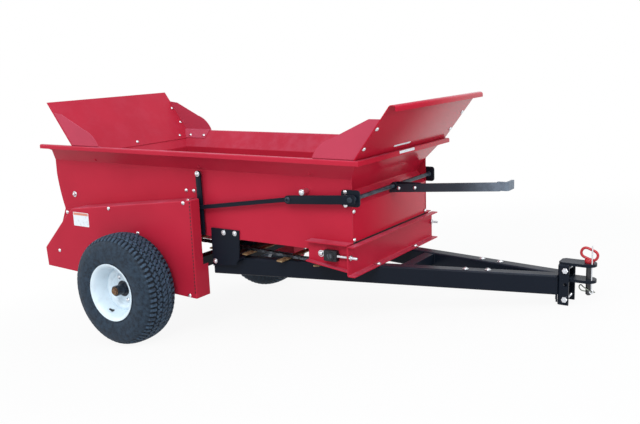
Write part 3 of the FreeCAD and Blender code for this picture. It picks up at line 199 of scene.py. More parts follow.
# -------------------------------- axle
# A square mild-steel beam runs under the hopper; a plate at each end is welded on and
# bolted to the hopper's side, and carries the stub of its wheel. All of it is in satin
# black enamel, thin, and lighter and bluish where it looks up: partly dust and partly
# painted sky sheen.
BEAM_HALF = 25.0
SIDE_Y = 293.0              # outer face of the hopper's side
PLATE_Y = 299.0             # outer face of a plate on it


def noise(shade, size, detail=2.0, roughness=0.5):
    """Noise whose patches are about the given size in metres."""
    return shade.node("TexNoise", inputs={"Vector": shade.node("TexCoord", out="Object"),
                                          "Scale": 1.0 / size, "Detail": detail,
                                          "Roughness": roughness}, out="Fac")


def facing_up(shade):
    """1 on faces that look up, 0 on the rest."""
    normal = shade.node("NewGeometry", out="Normal")
    return shade.node("SeparateXYZ", inputs={"Vector": normal}, out="Z").within(0.3, 0.95)


def finished(shade, share, first_tone, second_tone, roughness, relief=None, depth=0.0, more=None):
    """Closes a material: share 0 shows the first tone, share 1 the second, which is soil,
    wear or painted light as each material's comment says; the relief is that many metres
    deep; more holds its other sockets by name."""
    sockets = {"Base Color": shade.mix(share, first_tone, second_tone), "Roughness": roughness}
    if relief:
        sockets["Normal"] = shade.node("Bump", inputs={"Height": relief, "Distance": depth})
    surface = shade.node("BsdfPrincipled", inputs={**sockets, **(more or {})})
    shade.node("OutputMaterial", inputs={"Surface": surface})
    return shade.material


def paint(material, *nodes):
    """Gives a finish to solids that keep their own shape."""
    for node in nodes:
        slots = frame["nodes"][node].data.materials
        if not len(slots):
            slots.append(material)
        for i in range(len(slots)):
            slots[i] = material


def joined(*shapes):
    """One shape, as (vertices, faces), of several."""
    vertices, faces = [], []
    for points, polygons in shapes:
        start = sum(len(part) for part in vertices)
        vertices.append(np.asarray(points, float))
        faces += [tuple(start + i for i in polygon) for polygon in polygons]
    return np.concatenate(vertices), faces


def piece(name, shape, material, body, crease=35.0):
    """Makes an object of a shape given in machine millimetres, and lets it ride a body."""
    vertices, faces = shape
    mesh = bpy.data.meshes.new(name)
    mesh.from_pydata([at(*v) for v in vertices], [], faces)
    form = bmesh.new()
    form.from_mesh(mesh)
    bmesh.ops.remove_doubles(form, verts=form.verts, dist=1e-6)
    bmesh.ops.recalc_face_normals(form, faces=form.faces)
    form.to_mesh(mesh)
    form.free()
    mesh.shade_smooth()
    mesh.set_sharp_from_angle(angle=math.radians(crease))
    made = bpy.data.objects.new(name, mesh)
    made.data.materials.append(material)
    bpy.context.scene.collection.objects.link(made)
    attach(made, body)
    return made


def ring_faces(rows, steps, closed=False):
    """Faces between rows of points, each row a ring of so many steps."""
    faces = []
    for i in range(rows if closed else rows - 1):
        k = (i + 1) % rows
        for j in range(steps):
            n = (j + 1) % steps
            faces.append((i * steps + j, i * steps + n, k * steps + n, k * steps + j))
    return faces


def full_turn(steps):
    """Angles evenly round a circle."""
    return np.linspace(0, 2 * math.pi, steps, endpoint=False)


def run_length(points):
    """How far along their line each of the points lies."""
    return np.concatenate([[0], np.cumsum(np.linalg.norm(np.diff(points, axis=0), axis=1))])


def resampled(points, count, closed=False):
    """The line through the points, as many points of it as asked, evenly spaced."""
    points = np.asarray(points, float)
    if closed:
        points = np.concatenate([points, points[:1]])
    length = run_length(points)
    spots = np.linspace(0, length[-1], count, endpoint=not closed)
    return np.stack([np.interp(spots, length, points[:, k]) for k in range(points.shape[1])], 1)


def tube(path, radius, steps=12, closed=False):
    """Round bar along a path of points; the radius may change from point to point."""
    path = np.asarray(path, float)
    count = len(path)
    radius = np.broadcast_to(np.asarray(radius, float), (count,))
    if closed:
        ahead_of = np.roll(path, -1, 0) - np.roll(path, 1, 0)
    else:
        ahead_of = np.gradient(path, axis=0)
    ahead_of /= np.linalg.norm(ahead_of, axis=1)[:, None]
    side = np.cross(ahead_of[0], (0, 0, 1) if abs(ahead_of[0][2]) < 0.9 else (1, 0, 0))
    a = full_turn(steps)
    rings = []
    for point, forward, r in zip(path, ahead_of, radius):
        side = side - forward * np.dot(side, forward)
        side /= np.linalg.norm(side)
        other = np.cross(forward, side)
        rings.append(point + r * (np.outer(np.cos(a), side) + np.outer(np.sin(a), other)))
    faces = ring_faces(count, steps, closed)
    if not closed:
        faces += [tuple(range(steps)), tuple((count - 1) * steps + j for j in range(steps))]
    return np.concatenate(rings), faces


def weld(points, radius=2.6, closed=False):
    """Bead of weld along a line, rippled by its passes."""
    step = 1.8
    path = resampled(points, max(6, int(run_length(points)[-1] / step)), closed)
    t = np.arange(len(path))
    ripple = 1 + 0.13 * np.sin(t * 1.9) + 0.07 * np.sin(t * 0.37 + 1)
    return tube(path, radius * ripple, 7, closed)


def lathe(profile, centre, axis, steps, closed=False):
    """A profile of (distance along the axis, radius) turned about it."""
    profile = np.asarray(profile, float)
    axis = Vector(axis).normalized()
    side = axis.cross(Vector((0, 0, 1)) if abs(axis.z) < 0.9 else Vector((1, 0, 0))).normalized()
    a = full_turn(steps)
    ring = np.outer(np.cos(a), side) + np.outer(np.sin(a), axis.cross(side))
    along = np.outer(profile[:, 0], axis)
    points = along[:, None, :] + profile[:, 1, None, None] * ring[None, :, :]
    return (points.reshape(-1, 3) + np.array(centre, float),
            ring_faces(len(profile), steps, closed))


def domed_bolt(centre, axis, radius=8.2, high=5.2, washer=0.0):
    """Domed head, with a washer under it where the real one has it."""
    base = 1.6 if washer else 0.0
    rim = [(0, washer), (1.2, washer), (base, washer - 0.4)] if washer else []
    dome = [(base + high * math.sin(t), radius * math.cos(t))
            for t in np.linspace(0, math.pi / 2, 7)[:-1]]
    return lathe([(0, 0)] + rim + [(base, radius)] + dome + [(base + high, 0)],
                 centre, axis, 20)


shade = bare_material("black_enamel")
cloud = noise(shade, 0.12, 3.0)
# Faces that look up turn lighter and bluish: partly dust, partly painted sky sheen.
dust_and_sheen = facing_up(shade) * (0.30 + 0.5 * noise(shade, 0.05, 4.0, 0.65).within(0.35, 0.7))
black = finished(shade, dust_and_sheen + 0.08 * cloud, (0.0045, 0.0075, 0.0145), (0.026, 0.034, 0.050),
                 0.30 + 0.14 * cloud, noise(shade, 0.003), 0.00008, {"Specular IOR Level": 0.12})
shade = bare_material("zinc_plate")
patches = noise(shade, 0.004, 3.0)
zinc = finished(shade, patches, (0.80, 0.82, 0.85), (0.56, 0.59, 0.64), 0.24 + 0.15 * patches,
                noise(shade, 0.0015), 0.00006, {"Metallic": 1.0})


def hardware(name, *shapes, body="chassis"):
    """Plated bolts, nuts and pins, as one piece."""
    return piece(name, joined(*shapes), zinc, body)


def welded(name, *beads, body="chassis"):
    """Weld beads under the black enamel, as one piece."""
    piece(name, joined(*beads), black, body)


paint(black, "axle")
beam_ends = []
for sign in (-1, 1):
    corner = BEAM_HALF + 1
    beam_ends.append(weld([(x, sign * (SIDE_Y - 1.5), TYRE_R + z) for x, z in
                           ((-corner, -corner), (corner, -corner), (corner, corner),
                            (-corner, corner))], 3.0, True))
welded("axle_welds", *beam_ends)
hardware("axle_bolts", *[domed_bolt((x, sign * PLATE_Y, z), (0, sign, 0))
                         for sign in (-1, 1) for z in (470, 488) for x in (-58, 58)])


# -------------------------------- hubs
# A steel tube with a flange and a collar turns on each stub, in black enamel with lighter
# bluish patches painted in as sheen. The end of the stub shows bare and rusty inside it,
# behind its washer.
SIDES = (("left", 1), ("right", -1))
WHEEL_Y = 466.0
DISC_Y = 5.0                # face of the wheel's disc, out from the wheel's middle
HUB_END = 54.0              # outer end of the hub, from there too

# The hub's lighter bluish patches are painted sheen.
shade = bare_material("hub_enamel")
sheen_patched_hub_enamel = finished(shade, noise(shade, 0.02, 4.0).within(0.45, 0.75), (0.004, 0.008, 0.016),
                     (0.022, 0.032, 0.048), 0.30, noise(shade, 0.004, 3.0), 0.0002,
                     {"Specular IOR Level": 0.35})
shade = bare_material("rusty_stub")
scale = noise(shade, 0.006, 5.0, 0.7)
rusty = finished(shade, scale.within(0.40, 0.75), (0.11, 0.040, 0.018), (0.30, 0.21, 0.10), 0.62,
                 scale, 0.0006, {"Metallic": 0.3})
back = DISC_Y - 5.2
for side, sign in SIDES:
    centre, out = (0, sign * WHEEL_Y, TYRE_R), (0, sign, 0)
    hub = piece("hub_tube_" + side, lathe([
        (back - 53, 15), (back - 53, 21), (back - 8, 21), (back - 8, 64.5), (back, 64.5),
        (back, 32.4), (DISC_Y + 5.5, 32.4), (DISC_Y + 7, 31), (DISC_Y + 7, 22.5),
        (DISC_Y + 9, 21), (HUB_END - 1, 21), (HUB_END, 20), (HUB_END, 16.5),
        (HUB_END - 10, 16), (HUB_END - 10, 14.5), (back - 53, 14.5)], centre, out, 64, True),
        sheen_patched_hub_enamel, "wheel_" + side)
    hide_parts("hub_" + side)
    piece("stub_end_" + side, joined(
        lathe([(HUB_END - 12, 0), (HUB_END - 12, 14.3), (HUB_END + 4.5, 14.3),
               (HUB_END + 6.3, 12.8), (HUB_END + 6.3, 5), (HUB_END + 6.1, 3.5),
               (HUB_END + 6.1, 0)], centre, out, 40),
        lathe([(HUB_END + 0.5, 14.2), (HUB_END + 0.5, 17), (HUB_END + 2.2, 17),
               (HUB_END + 2.2, 14.2)], centre, out, 40, True)), rusty, "chassis")


# -------------------------------- wheels
# Each wheel is a pressed steel rim with a dished disc welded in, in bluish white enamel,
# held to the hub's flange by four domed bolts. The rubber valve stands in the dish.
WHEEL_BOLTS = 4
FIRST_BOLT = 24.0           # degrees round from straight ahead
BOLT_CIRCLE_R = 50.8


def smooth_path(points, count):
    """A curve through the points, as many points of it as asked, evenly spaced."""
    points = np.asarray(points, float)
    ends = np.concatenate([[2 * points[0] - points[1]], points, [2 * points[-1] - points[-2]]])
    fine = []
    for p0, p1, p2, p3 in zip(ends, ends[1:], ends[2:], ends[3:]):
        for t in np.linspace(0, 1, 24, endpoint=False):
            fine.append(0.5 * (2 * p1 + (p2 - p0) * t + (2 * p0 - 5 * p1 + 4 * p2 - p3) * t * t
                               + (3 * p1 - p0 - 3 * p2 + p3) * t ** 3))
    return resampled(fine + [points[-1]], count)


def beside(path):
    """Unit vectors square to a flat path, at each of its points."""
    forward = np.gradient(path, axis=0)
    square = np.stack([-forward[:, 1], forward[:, 0]], 1)
    return square / np.linalg.norm(square, axis=1)[:, None]


def sheeted(path, thickness):
    """Closed outline of a strip of some thickness along a path."""
    return np.concatenate([path, (path + beside(path) * thickness)[::-1]])


shade = bare_material("white_rim_enamel")
dirt = noise(shade, 0.035, 5.0, 0.65).within(0.45, 0.75)
rim_white = finished(shade, 0.5 * dirt, (0.68, 0.80, 0.88), (0.52, 0.61, 0.68),
                     0.32 + 0.25 * dirt, noise(shade, 0.003), 0.00006, {"Coat Weight": 0.15})
shade = bare_material("valve_rubber")
valve_rubber = finished(shade, noise(shade, 0.004), (0.012, 0.013, 0.016),
                        (0.035, 0.038, 0.042), 0.6)
barrel = smooth_path([(77, 118.8), (76.2, 116.4), (74.6, 112.5), (71, 108.4), (65, 104.8),
                      (57, 101.8), (45, 98), (30, 93.2), (15, 89.3), (4, 87.8), (-26, 87.8),
                      (-34, 90), (-42, 100), (-52, 101.2), (-69, 101.4), (-71.5, 104),
                      (-72, 112), (-73.5, 117), (-77, 118.6)], 110)
disc = smooth_path([(DISC_Y + 3, 87.5), (DISC_Y + 9, 84), (DISC_Y + 11, 79), (DISC_Y + 7, 71),
                    (DISC_Y + 1, 65), (DISC_Y, 58), (DISC_Y, 33)], 40)
for side, sign in SIDES:
    centre, out = (0, sign * WHEEL_Y, TYRE_R), (0, sign, 0)
    heads = []
    for i in range(WHEEL_BOLTS):
        a = math.radians(FIRST_BOLT + 360 / WHEEL_BOLTS * i)
        heads.append(domed_bolt((BOLT_CIRCLE_R * math.cos(a), sign * (WHEEL_Y + DISC_Y),
                                 TYRE_R + BOLT_CIRCLE_R * math.sin(a)), out, 10.5, 9, 13.5))
    hardware("wheel_bolts_" + side, *heads, body="wheel_" + side)
    rim = piece("rim_" + side, joined(lathe(sheeted(barrel, 2.8), centre, out, 120, True),
                                      lathe(sheeted(disc, 4.0), centre, out, 120, True)),
                rim_white, "wheel_" + side, 50)
    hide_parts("wheel_" + side)
    piece("valve_" + side, lathe([(-8, 0), (-8, 6.6), (-1, 6.2), (6, 5), (9, 3.8), (17, 3.6),
                                  (18, 4.4), (24, 4.2), (25, 3.2), (25, 0)],
                                 (-34, sign * (WHEEL_Y + 44), TYRE_R - 90),
                                 (0.2, sign * 0.8, 0.55), 20),
          valve_rubber, "wheel_" + side)


# -------------------------------- tyres
# The tyres are low-pressure turf tyres of moulded rubber: three rows of zigzag blocks, a row
# of short lugs over each shoulder, and raised rings on the side walls. The rubber is dull
# blue-grey, its block tops painted lighter as highlight, mottled and less on the side
# walls; the grooves stay dark as painted shade.
TREAD_DEPTH = 5.5
PITCHES = 66                # blocks round the tyre
MIDDLE_ROW, SIDE_ROW = 15.0, 41.0       # outer edges of the rows, from the middle
SHOULDER = 66.0             # where the tread starts to fade into the side wall
WALL = 84.0                 # where it has
RING_R = (126, 133, 178, 199)           # of the raised rings
RING_HIGH = 0.9
ROUND_STEPS = 600


def zigzag(t):
    """Triangle wave between -1 and 1, once for each step of 1."""
    return 4 * np.abs(t - np.floor(t + 0.5)) - 1


def clear_of(distance, width):
    """0 in a groove of that width, 1 beyond its bevelled edges."""
    t = np.clip((np.abs(distance) - width / 2) / 1.8, 0, 1)
    return t * t * (3 - 2 * t)


def tread(turn, s):
    """Height of the tread, 0 to 1: turn is 0 to 1 round the tyre, s mm across it."""
    pitch = 2 * math.pi * TYRE_R / PITCHES
    t = turn * PITCHES
    side = np.sign(s)
    width = np.abs(s)
    high = clear_of(width - MIDDLE_ROW - 2.4 * zigzag(t / 2 + 0.25 * side), 3.6)
    high = high * clear_of(width - SIDE_ROW - 1.8 * zigzag(t + 0.25), 4.4)

    def cut(phase, gap, where):
        to_cut = (t + phase - np.round(t + phase)) * pitch
        return np.where(where, clear_of(to_cut, gap), 1)

    high = high * cut(0.028 * s + 0.1 * zigzag(s / 15), 3.2, width < MIDDLE_ROW)
    high = high * cut(0.3 * side + 0.03 * s + 0.16 * zigzag(s / 13), 3.8,
                      (width >= MIDDLE_ROW) & (width < SIDE_ROW))
    high = high * cut(0.5 + 0.006 * s, 7.0, width >= SIDE_ROW)
    fade = np.clip((width - SHOULDER) / 12, 0, 1)
    return high + (1 - high) * fade


# Block tops are painted lighter blue-grey as highlight, mottled; grooves stay dark as painted shade.
shade = bare_material("tyre_rubber_moulded")
mottle = noise(shade, 0.015, 6.0, 0.7)
lighter_share = shade.node("Attribute", {"attribute_name": "painted_tread_highlight"}, out="Fac")
rubber = finished(shade, lighter_share * (0.22 + 0.78 * mottle.within(0.3, 0.7)), (0.003, 0.006, 0.011),
                  (0.052, 0.094, 0.150), 0.48 + 0.25 * mottle, noise(shade, 0.0015), 0.0003,
                  {"Specular IOR Level": 0.22})

half_wall = [(64, 108), (72, 112.5), (76.5, 122), (80.5, 138), (82, 158), (80.5, 178),
             (76, 196), (68.5, 210), (57, 219.5)]
outline = smooth_path([(-y, r) for y, r in half_wall] + [(-38, 225.2), (-18, 227.9),
                      (0, 228.4), (18, 227.9), (38, 225.2)] + half_wall[::-1], 400)
length = run_length(outline)
s = length - length[-1] / 2
columns = np.concatenate([np.linspace(s[0], -WALL, 22), np.linspace(2 - WALL, WALL - 2, 96),
                          np.linspace(WALL, s[-1], 22)])
outline = np.stack([np.interp(columns, s, outline[:, k]) for k in (0, 1)], 1)
normal = beside(outline)
rings = sum(RING_HIGH * np.exp(-((outline[:, 1] - r) / 1.6) ** 2) for r in RING_R)
rings = np.where(np.abs(columns) > WALL, rings - RING_HIGH, 0)
turns = np.arange(ROUND_STEPS) / ROUND_STEPS
heights = tread(turns[:, None], columns[None, :])
push = rings[None, :] - TREAD_DEPTH * (1 - heights)
# Share of the painted highlight: full on the tread tops, less on the side walls, none in the grooves.
tread_highlight_share = np.clip(heights, 0, 1) * np.where(np.abs(columns) < 70, 1.0, 0.45)[None, :]
y = outline[None, :, 0] + push * normal[None, :, 0]
r = outline[None, :, 1] + push * normal[None, :, 1]
a = 2 * math.pi * turns[:, None]
faces = ring_faces(ROUND_STEPS, len(columns), True)
for side, sign in SIDES:
    points = np.stack([r * np.cos(a), sign * (WHEEL_Y + y), TYRE_R + r * np.sin(a)], -1)
    tyre = piece("turf_tyre_" + side, (points.reshape(-1, 3), faces), rubber, "wheel_" + side,
                 60)
    tyre.data.attributes.new("painted_tread_highlight", "FLOAT", "POINT").data.foreach_set(
        "value", tread_highlight_share.astype(np.float32).ravel())
    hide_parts("tyre_" + side)


# -------------------------------- hopper
# The hopper's sides, front and rear are 3 mm mild-steel sheet, folded and bolted together,
# then powder-coated a deep red. The coat has a fine orange peel; a mauve tone lies in it,
# partly dust and partly painted sky sheen, more on the faces that look up. Domed bolts show
# under the flare, on the sides and the front.
FOLD_Z = 708.0              # where the flare starts
FLARE = 56.0 / 74.0         # how far it goes out for each millimetre up
FLARE_OUT, FLARE_UP = 0.797, 0.603      # square to it
HOPPER_FRONT_X = 990.0
CORNER_BOLT_Y = 283.0


def along(shade, start, end):
    """0 at one point, 1 at another, rising evenly between them."""
    way = end - start
    place = shade.node("VectorMath", {"operation": "SUBTRACT"},
                       {0: shade.node("TexCoord", out="Object"), 1: start})
    return shade.node("VectorMath", {"operation": "DOT_PRODUCT"},
                      {0: place, 1: way / way.length_squared}, out="Value")


def powder_coat(name, second_tone=0.05, specular=0.08, gloss=0.0):
    """Deep red coat; second_tone is an extra share of its mauve tone of dust and painted sky sheen; gloss is how
    much clear shine it has gained at its left-hand end.
    """
    shade = bare_material(name)
    cloud = noise(shade, 0.35, 3.0)
    specks = noise(shade, 0.006, 4.0, 0.7).within(0.62, 0.80)
    # Faces that look up and fine specks take a mauve tone, partly dust and partly painted sky sheen.
    dust_and_sheen = facing_up(shade) * (0.16 + 0.30 * noise(shade, 0.08, 4.0, 0.65).within(0.4, 0.7))
    dust_and_sheen = dust_and_sheen + 0.06 * specks + second_tone
    red_now = shade.mix(cloud.within(0.3, 0.7), (0.452, 0.0125, 0.034), (0.395, 0.009, 0.027))
    shine = gloss * along(shade, at(0, -250, 0), at(0, 330, 0)).within(0.0, 1.0)
    return finished(shade, dust_and_sheen, red_now, (0.50, 0.150, 0.235), 0.26 + 0.10 * cloud + 0.25 * dust_and_sheen,
                    noise(shade, 0.0022, 1.5), 0.00006, {
                        "Specular IOR Level": specular, "Coat Weight": shine,
                        "Coat Roughness": 0.15})


red = powder_coat("red_powder_coat")
glossy_red = powder_coat("red_powder_coat_glossy", 0.0, 0.01, 0.9)
paint(red, "hopper_side_left", "hopper_side_right", "hopper_rear", "metering_gate",
      "hopper_floor", "floor_bearers", "rear_hood")
paint(glossy_red, "hopper_front")
piece("fold_bolts", joined(*[
    domed_bolt((x, sign * (SIDE_Y + 9.0), FOLD_Z + 11.7), (0, sign * FLARE_OUT, -FLARE_UP), 6.5, 4)
    for x in (-301, 298, 821) for sign in (-1, 1)]), red, "chassis")
hardware("hopper_bolts",
         *[domed_bolt((x, sign * SIDE_Y, z), (0, sign, 0))
           for x, z in ((213, 619), (254, 620)) for sign in (-1, 1)],
         *[domed_bolt((HOPPER_FRONT_X, y, z), (1, 0, 0))
           for y in (-CORNER_BOLT_Y, CORNER_BOLT_Y) for z in (594, 491)])
hardware("hopper_studs", *[domed_bolt((-470, sign * SIDE_Y, 556), (0, sign, 0), 7.5, 10, 13)
                           for sign in (-1, 1)])


# -------------------------------- boards
# Folded red boards lean outward over the front and the rear lip, with a curved wing at each
# end inside the flare. All are bolted on, so that they lift off for small loads. Blank white
# labels are stuck to the front lip and to the foot of the front board.
BOARD_FRONT_X, BOARD_REAR_X = 986.0, -312.0     # where the boards' planes cross the fold
EDGE_BOLT_Y = 346.0
EDGE_BOLT_Z = (891.5, 823.5)
FOOT_BOLT_UP, WING_BOLT_UP = 55.0, 54.5         # above the fold
LIP_X, LIP_Z = 1062.2, 778.5            # middle of the front lip's face


def rounded_box(low, high, half, low_round, high_round, steps):
    """Points round a box from low to high, half each way, with its corners rounded."""
    points = []
    for turn, (x, y, r) in enumerate(((high - high_round, 1, high_round),
                                      (low + low_round, 1, low_round),
                                      (low + low_round, -1, low_round),
                                      (high - high_round, -1, high_round))):
        for a in np.linspace(0, math.pi / 2, steps) + turn * math.pi / 2:
            points.append((x + r * math.cos(a), y * (half - r) + r * math.sin(a)))
    return points


def rounded_outline(length, height, corner):
    return rounded_box(-length / 2, length / 2, height / 2, corner, corner, 5)


def label(centre, along, up, length, height, thick=0.35, corner=2.5):
    """A thin sheet with rounded corners, laid on a surface."""
    along, up = Vector(along).normalized(), Vector(up).normalized()
    out = along.cross(up)
    flat = [Vector(centre) + along * u + up * v
            for u, v in rounded_outline(length, height, corner)]
    count = len(flat)
    points = [p - out * thick for p in flat] + [p + out * thick for p in flat]
    ends = [tuple(range(count)), tuple(range(count, 2 * count))]
    return np.array(points), ring_faces(2, count) + ends


shade = bare_material("label_film")
scuffs = noise(shade, 0.012, 4.0, 0.65).within(0.5, 0.8)
film = finished(shade, scuffs, (0.74, 0.80, 0.84), (0.52, 0.54, 0.58), 0.28 + 0.3 * scuffs)
paint(glossy_red, "board_front")
paint(red, "board_rear")
# The wings take more of the mauve tone: partly dust, partly painted sheen on their inner faces.
paint(powder_coat("red_powder_coat_soil_and_sheen", 0.28), "wing_front_left", "wing_front_right",
      "wing_rear_left", "wing_rear_right")
heads = []
for z in EDGE_BOLT_Z:
    out = (z - FOLD_Z) * FLARE
    for y in (-EDGE_BOLT_Y, EDGE_BOLT_Y):
        heads.append(domed_bolt((BOARD_FRONT_X + out, y, z), (FLARE_OUT, 0, -FLARE_UP)))
        heads.append(domed_bolt((BOARD_REAR_X - out, y, z), (FLARE_OUT, 0, FLARE_UP)))
for y in (-287, 0, 287):
    heads.append(domed_bolt((BOARD_REAR_X - FOOT_BOLT_UP * FLARE, y, FOLD_Z + FOOT_BOLT_UP),
                            (FLARE_OUT, 0, FLARE_UP)))
for sign in (-1, 1):
    heads += [domed_bolt((x, sign * (SIDE_Y - 7 + WING_BOLT_UP * FLARE), FOLD_Z + WING_BOLT_UP),
                         (0, -FLARE_OUT * sign, FLARE_UP)) for x in (-320, -234, 905, 985)]
hardware("board_bolts", *heads)
piece("blank_labels", joined(
    label((LIP_X, -11, LIP_Z), (0, 1, 0), (0, 0, 1), 119, 10),
    label((LIP_X - 1.9, -44.5, LIP_Z + 27.5), (0, 1, 0), (FLARE_UP, 0, FLARE_OUT), 130, 8)),
    film, "chassis")


# -------------------------------- apron
# The moving floor is two strands of pintle chain over toothed wheels, with flat steel slats
# bolted across them. The links are cast in one with their barrels and run on loose pins;
# they are dark with oil, and the slats have rusted to a dry tan.
CHAIN_PITCH = 42.0
RUN_LINKS = 31
DRIVE_X, IDLER_X, APRON_Z, APRON_R = -384.0, 918.0, 437.0, 42.0
CHAIN_Y = 205.0
RETURN_SAG = 20.0
SAG_POWER = 4.265
SLAT_EVERY = 4
LINK_BAR_HALF = 1.75
LINK_STATIONS = ((-5.5, 5.2, 2.6), (-3.2, 5.2, 4.6), (8, 5.2, 5.2), (22, 9.2, 5.2),
                 (45.2, 9.2, 4.6), (47.5, 9.2, 2.6))


def pins_of_chain():
    """Middles of the pins round one strand: out along the top and back underneath."""
    def on_wheel(x, degrees):
        a = math.radians(degrees)
        return x + APRON_R * math.cos(a), APRON_Z + APRON_R * math.sin(a)

    pins = [(DRIVE_X + CHAIN_PITCH * i, APRON_Z + APRON_R) for i in range(RUN_LINKS + 1)]
    pins += [on_wheel(IDLER_X, 30), on_wheel(IDLER_X, -30)]
    for i in range(RUN_LINKS + 1):
        share = 1 - i / RUN_LINKS
        hang = RETURN_SAG * math.sin(math.pi * share ** SAG_POWER)
        pins.append((DRIVE_X + CHAIN_PITCH * RUN_LINKS * share, APRON_Z - APRON_R - hang))
    return pins + [on_wheel(DRIVE_X, 210), on_wheel(DRIVE_X, 150)]


def side_bar(sign):
    """One bar of a link: along the chain, across it, and out from it."""
    points = []
    for u, v, h in LINK_STATIONS:
        for t, w in ((-1, -1), (1, -1), (1, 1), (-1, 1)):
            points.append((u, sign * (v + t * LINK_BAR_HALF), w * h))
    last = len(points)
    ends = [(0, 1, 2, 3), tuple(range(last - 4, last))]
    return np.array(points, float), ends + ring_faces(len(LINK_STATIONS), 4)


shade = bare_material("oiled_chain_steel")
oil = noise(shade, 0.010, 4.0, 0.6).within(0.4, 0.7)
chain_steel = finished(shade, oil, (0.030, 0.034, 0.042), (0.150, 0.165, 0.190),
                       0.30 + 0.25 * oil, noise(shade, 0.002, 3.0), 0.0002, {"Metallic": 0.7})
shade = bare_material("rusty_slat")
rust = noise(shade, 0.020, 5.0, 0.7)
slat_steel = finished(shade, rust.within(0.35, 0.65), (0.36, 0.26, 0.13), (0.19, 0.085, 0.035),
                      0.55 + 0.3 * rust, rust, 0.0004, {"Metallic": 0.15})
paint(chain_steel, "idler_shaft", "apron_drive_shaft")
paint(slat_steel, "apron_slats")
link_shape = joined(side_bar(-1), side_bar(1),
                    lathe([(-6.8, 0), (-6.8, 5.6), (6.8, 5.6), (6.8, 0)],
                          (0, 0, 0), (0, 1, 0), 12),
                    lathe([(-12, 0), (-12, 3.8), (-11, 4.2), (-11, 2.8), (12, 2.8),
                           (12, 0)], (0, 0, 0), (0, 1, 0), 10))
pins = pins_of_chain()
for side, sign in SIDES:
    links, nuts = [], []
    for i, (x0, z0) in enumerate(pins):
        x1, z1 = pins[(i + 1) % len(pins)]
        reach = math.hypot(x1 - x0, z1 - z0)
        forward = np.array([(x1 - x0) / reach, 0, (z1 - z0) / reach])
        outward = np.array([-forward[2], 0, forward[0]])
        points, faces = link_shape
        placed = (points[:, :1] * forward + points[:, 1:2] * np.array([0, 1, 0])
                  + points[:, 2:] * outward)
        links.append((placed + np.array([x0, sign * CHAIN_Y, z0]), faces))
        if i % SLAT_EVERY == 0:
            middle = np.array([(x0 + x1) / 2, sign * CHAIN_Y, (z0 + z1) / 2])
            nuts.append(domed_bolt(middle + outward * 10, outward, 5.5, 3))
    strand = piece("pintle_chain_" + side, joined(*links), chain_steel, "chassis",
                   40)
    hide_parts("apron_chain_" + side)
    piece("slat_bolts_" + side, joined(*nuts), slat_steel, "chassis")


# -------------------------------- idler housing
# A folded red box closes the front of the apron, with a web outside each side panel. In the
# slot of each web a rough cast block carries the idler shaft; a screw through the front
# of the web draws it forward to tighten the chain. A rubber seal closes the gap above.
WEB_Y = 315.0
SCREW_Y = 326.0
SLOT_REAR_X = 869.0
NUT_SEAT_X = 994.3
SEAL_X, SEAL_Z, SEAL_HALF = 984.0, 481.0, 288.5


def plate(outline, y0, y1, ease=0.8):
    """Flat piece between two planes across the machine, its edges eased."""
    form = bmesh.new()
    low = [form.verts.new((x, y0, z)) for x, z in outline]
    high = [form.verts.new((x, y1, z)) for x, z in outline]
    form.faces.new(low)
    form.faces.new(high)
    for i in range(len(low)):
        form.faces.new((low[i - 1], low[i], high[i], high[i - 1]))
    rims = [e for e in form.edges if e.verts[0].co.y == e.verts[1].co.y]
    bmesh.ops.bevel(form, geom=rims, offset=ease, segments=2, profile=0.5, affect="EDGES")
    points = np.array([v.co for v in form.verts])
    faces = [tuple(v.index for v in f.verts) for f in form.faces]
    form.free()
    return points, faces


def hexed(centre, axis, flats, high):
    """Hexagon head or nut with its corners eased."""
    corner = flats / math.sqrt(3)
    return lathe([(0, 0), (0, corner * 0.96), (0.08 * high, corner), (0.88 * high, corner),
                  (high, corner * 0.90), (high, 0)], centre, axis, 6)


def threaded(start, axis, length, radius, pitch=1.5):
    """Screw thread as close rings, with an eased end."""
    rows = [(0, 0), (0, radius - 0.5)]
    for i in range(int((length - 1.5) / pitch)):
        rows += [(pitch * (i + 0.25), radius - 0.5), (pitch * (i + 0.75), radius)]
    return lathe(rows + [(length, radius - 0.9), (length, 0)], start, axis, 14)


shade = bare_material("rough_casting")
lumps = noise(shade, 0.005, 4.0, 0.6)
cast_black = finished(shade, lumps.within(0.4, 0.7), (0.004, 0.005, 0.008),
                      (0.020, 0.022, 0.028), 0.5, lumps, 0.0008, {"Specular IOR Level": 0.3})
paint(red, "idler_housing", "housing_side_left", "housing_side_right")
for side, sign in SIDES:
    ends = (WEB_Y + 0.3, WEB_Y + 20.2)
    low_y, high_y = sorted(sign * y for y in ends)
    casting = piece("take_up_block_" + side, joined(
        plate([(IDLER_X + u, APRON_Z + v) for u, v in rounded_outline(54, 40, 4)], low_y,
              high_y, 2.0),
        lathe([(0, 13), (0, 17), (3.0, 16), (3.4, 13.5), (3.4, 10.1), (0, 10.1)],
              (IDLER_X, sign * ends[1], APRON_Z), (0, sign, 0), 32, True)),
        cast_black, "chassis")
    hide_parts("take_up_" + side)
    hardware("take_up_screw_" + side,
             threaded((IDLER_X + 26, sign * SCREW_Y, APRON_Z), (1, 0, 0), 82, 5.0),
             hexed((NUT_SEAT_X, sign * SCREW_Y, APRON_Z), (1, 0, 0), 17, 8.5),
             domed_bolt((SLOT_REAR_X, sign * (WEB_Y + 0.2), APRON_Z), (0, sign, 0), 9.5, 7, 12.5))
shade = bare_material("seal_rubber")
seal_rubber = finished(shade, noise(shade, 0.01, 3.0), (0.006, 0.006, 0.008),
                       (0.020, 0.020, 0.024), 0.7)
seal = [(SEAL_X + u, SEAL_Z + v) for u, v in rounded_outline(3, 30, 1)]
piece("panel_seal", plate(seal, -SEAL_HALF, SEAL_HALF, 0.4), seal_rubber, "chassis")
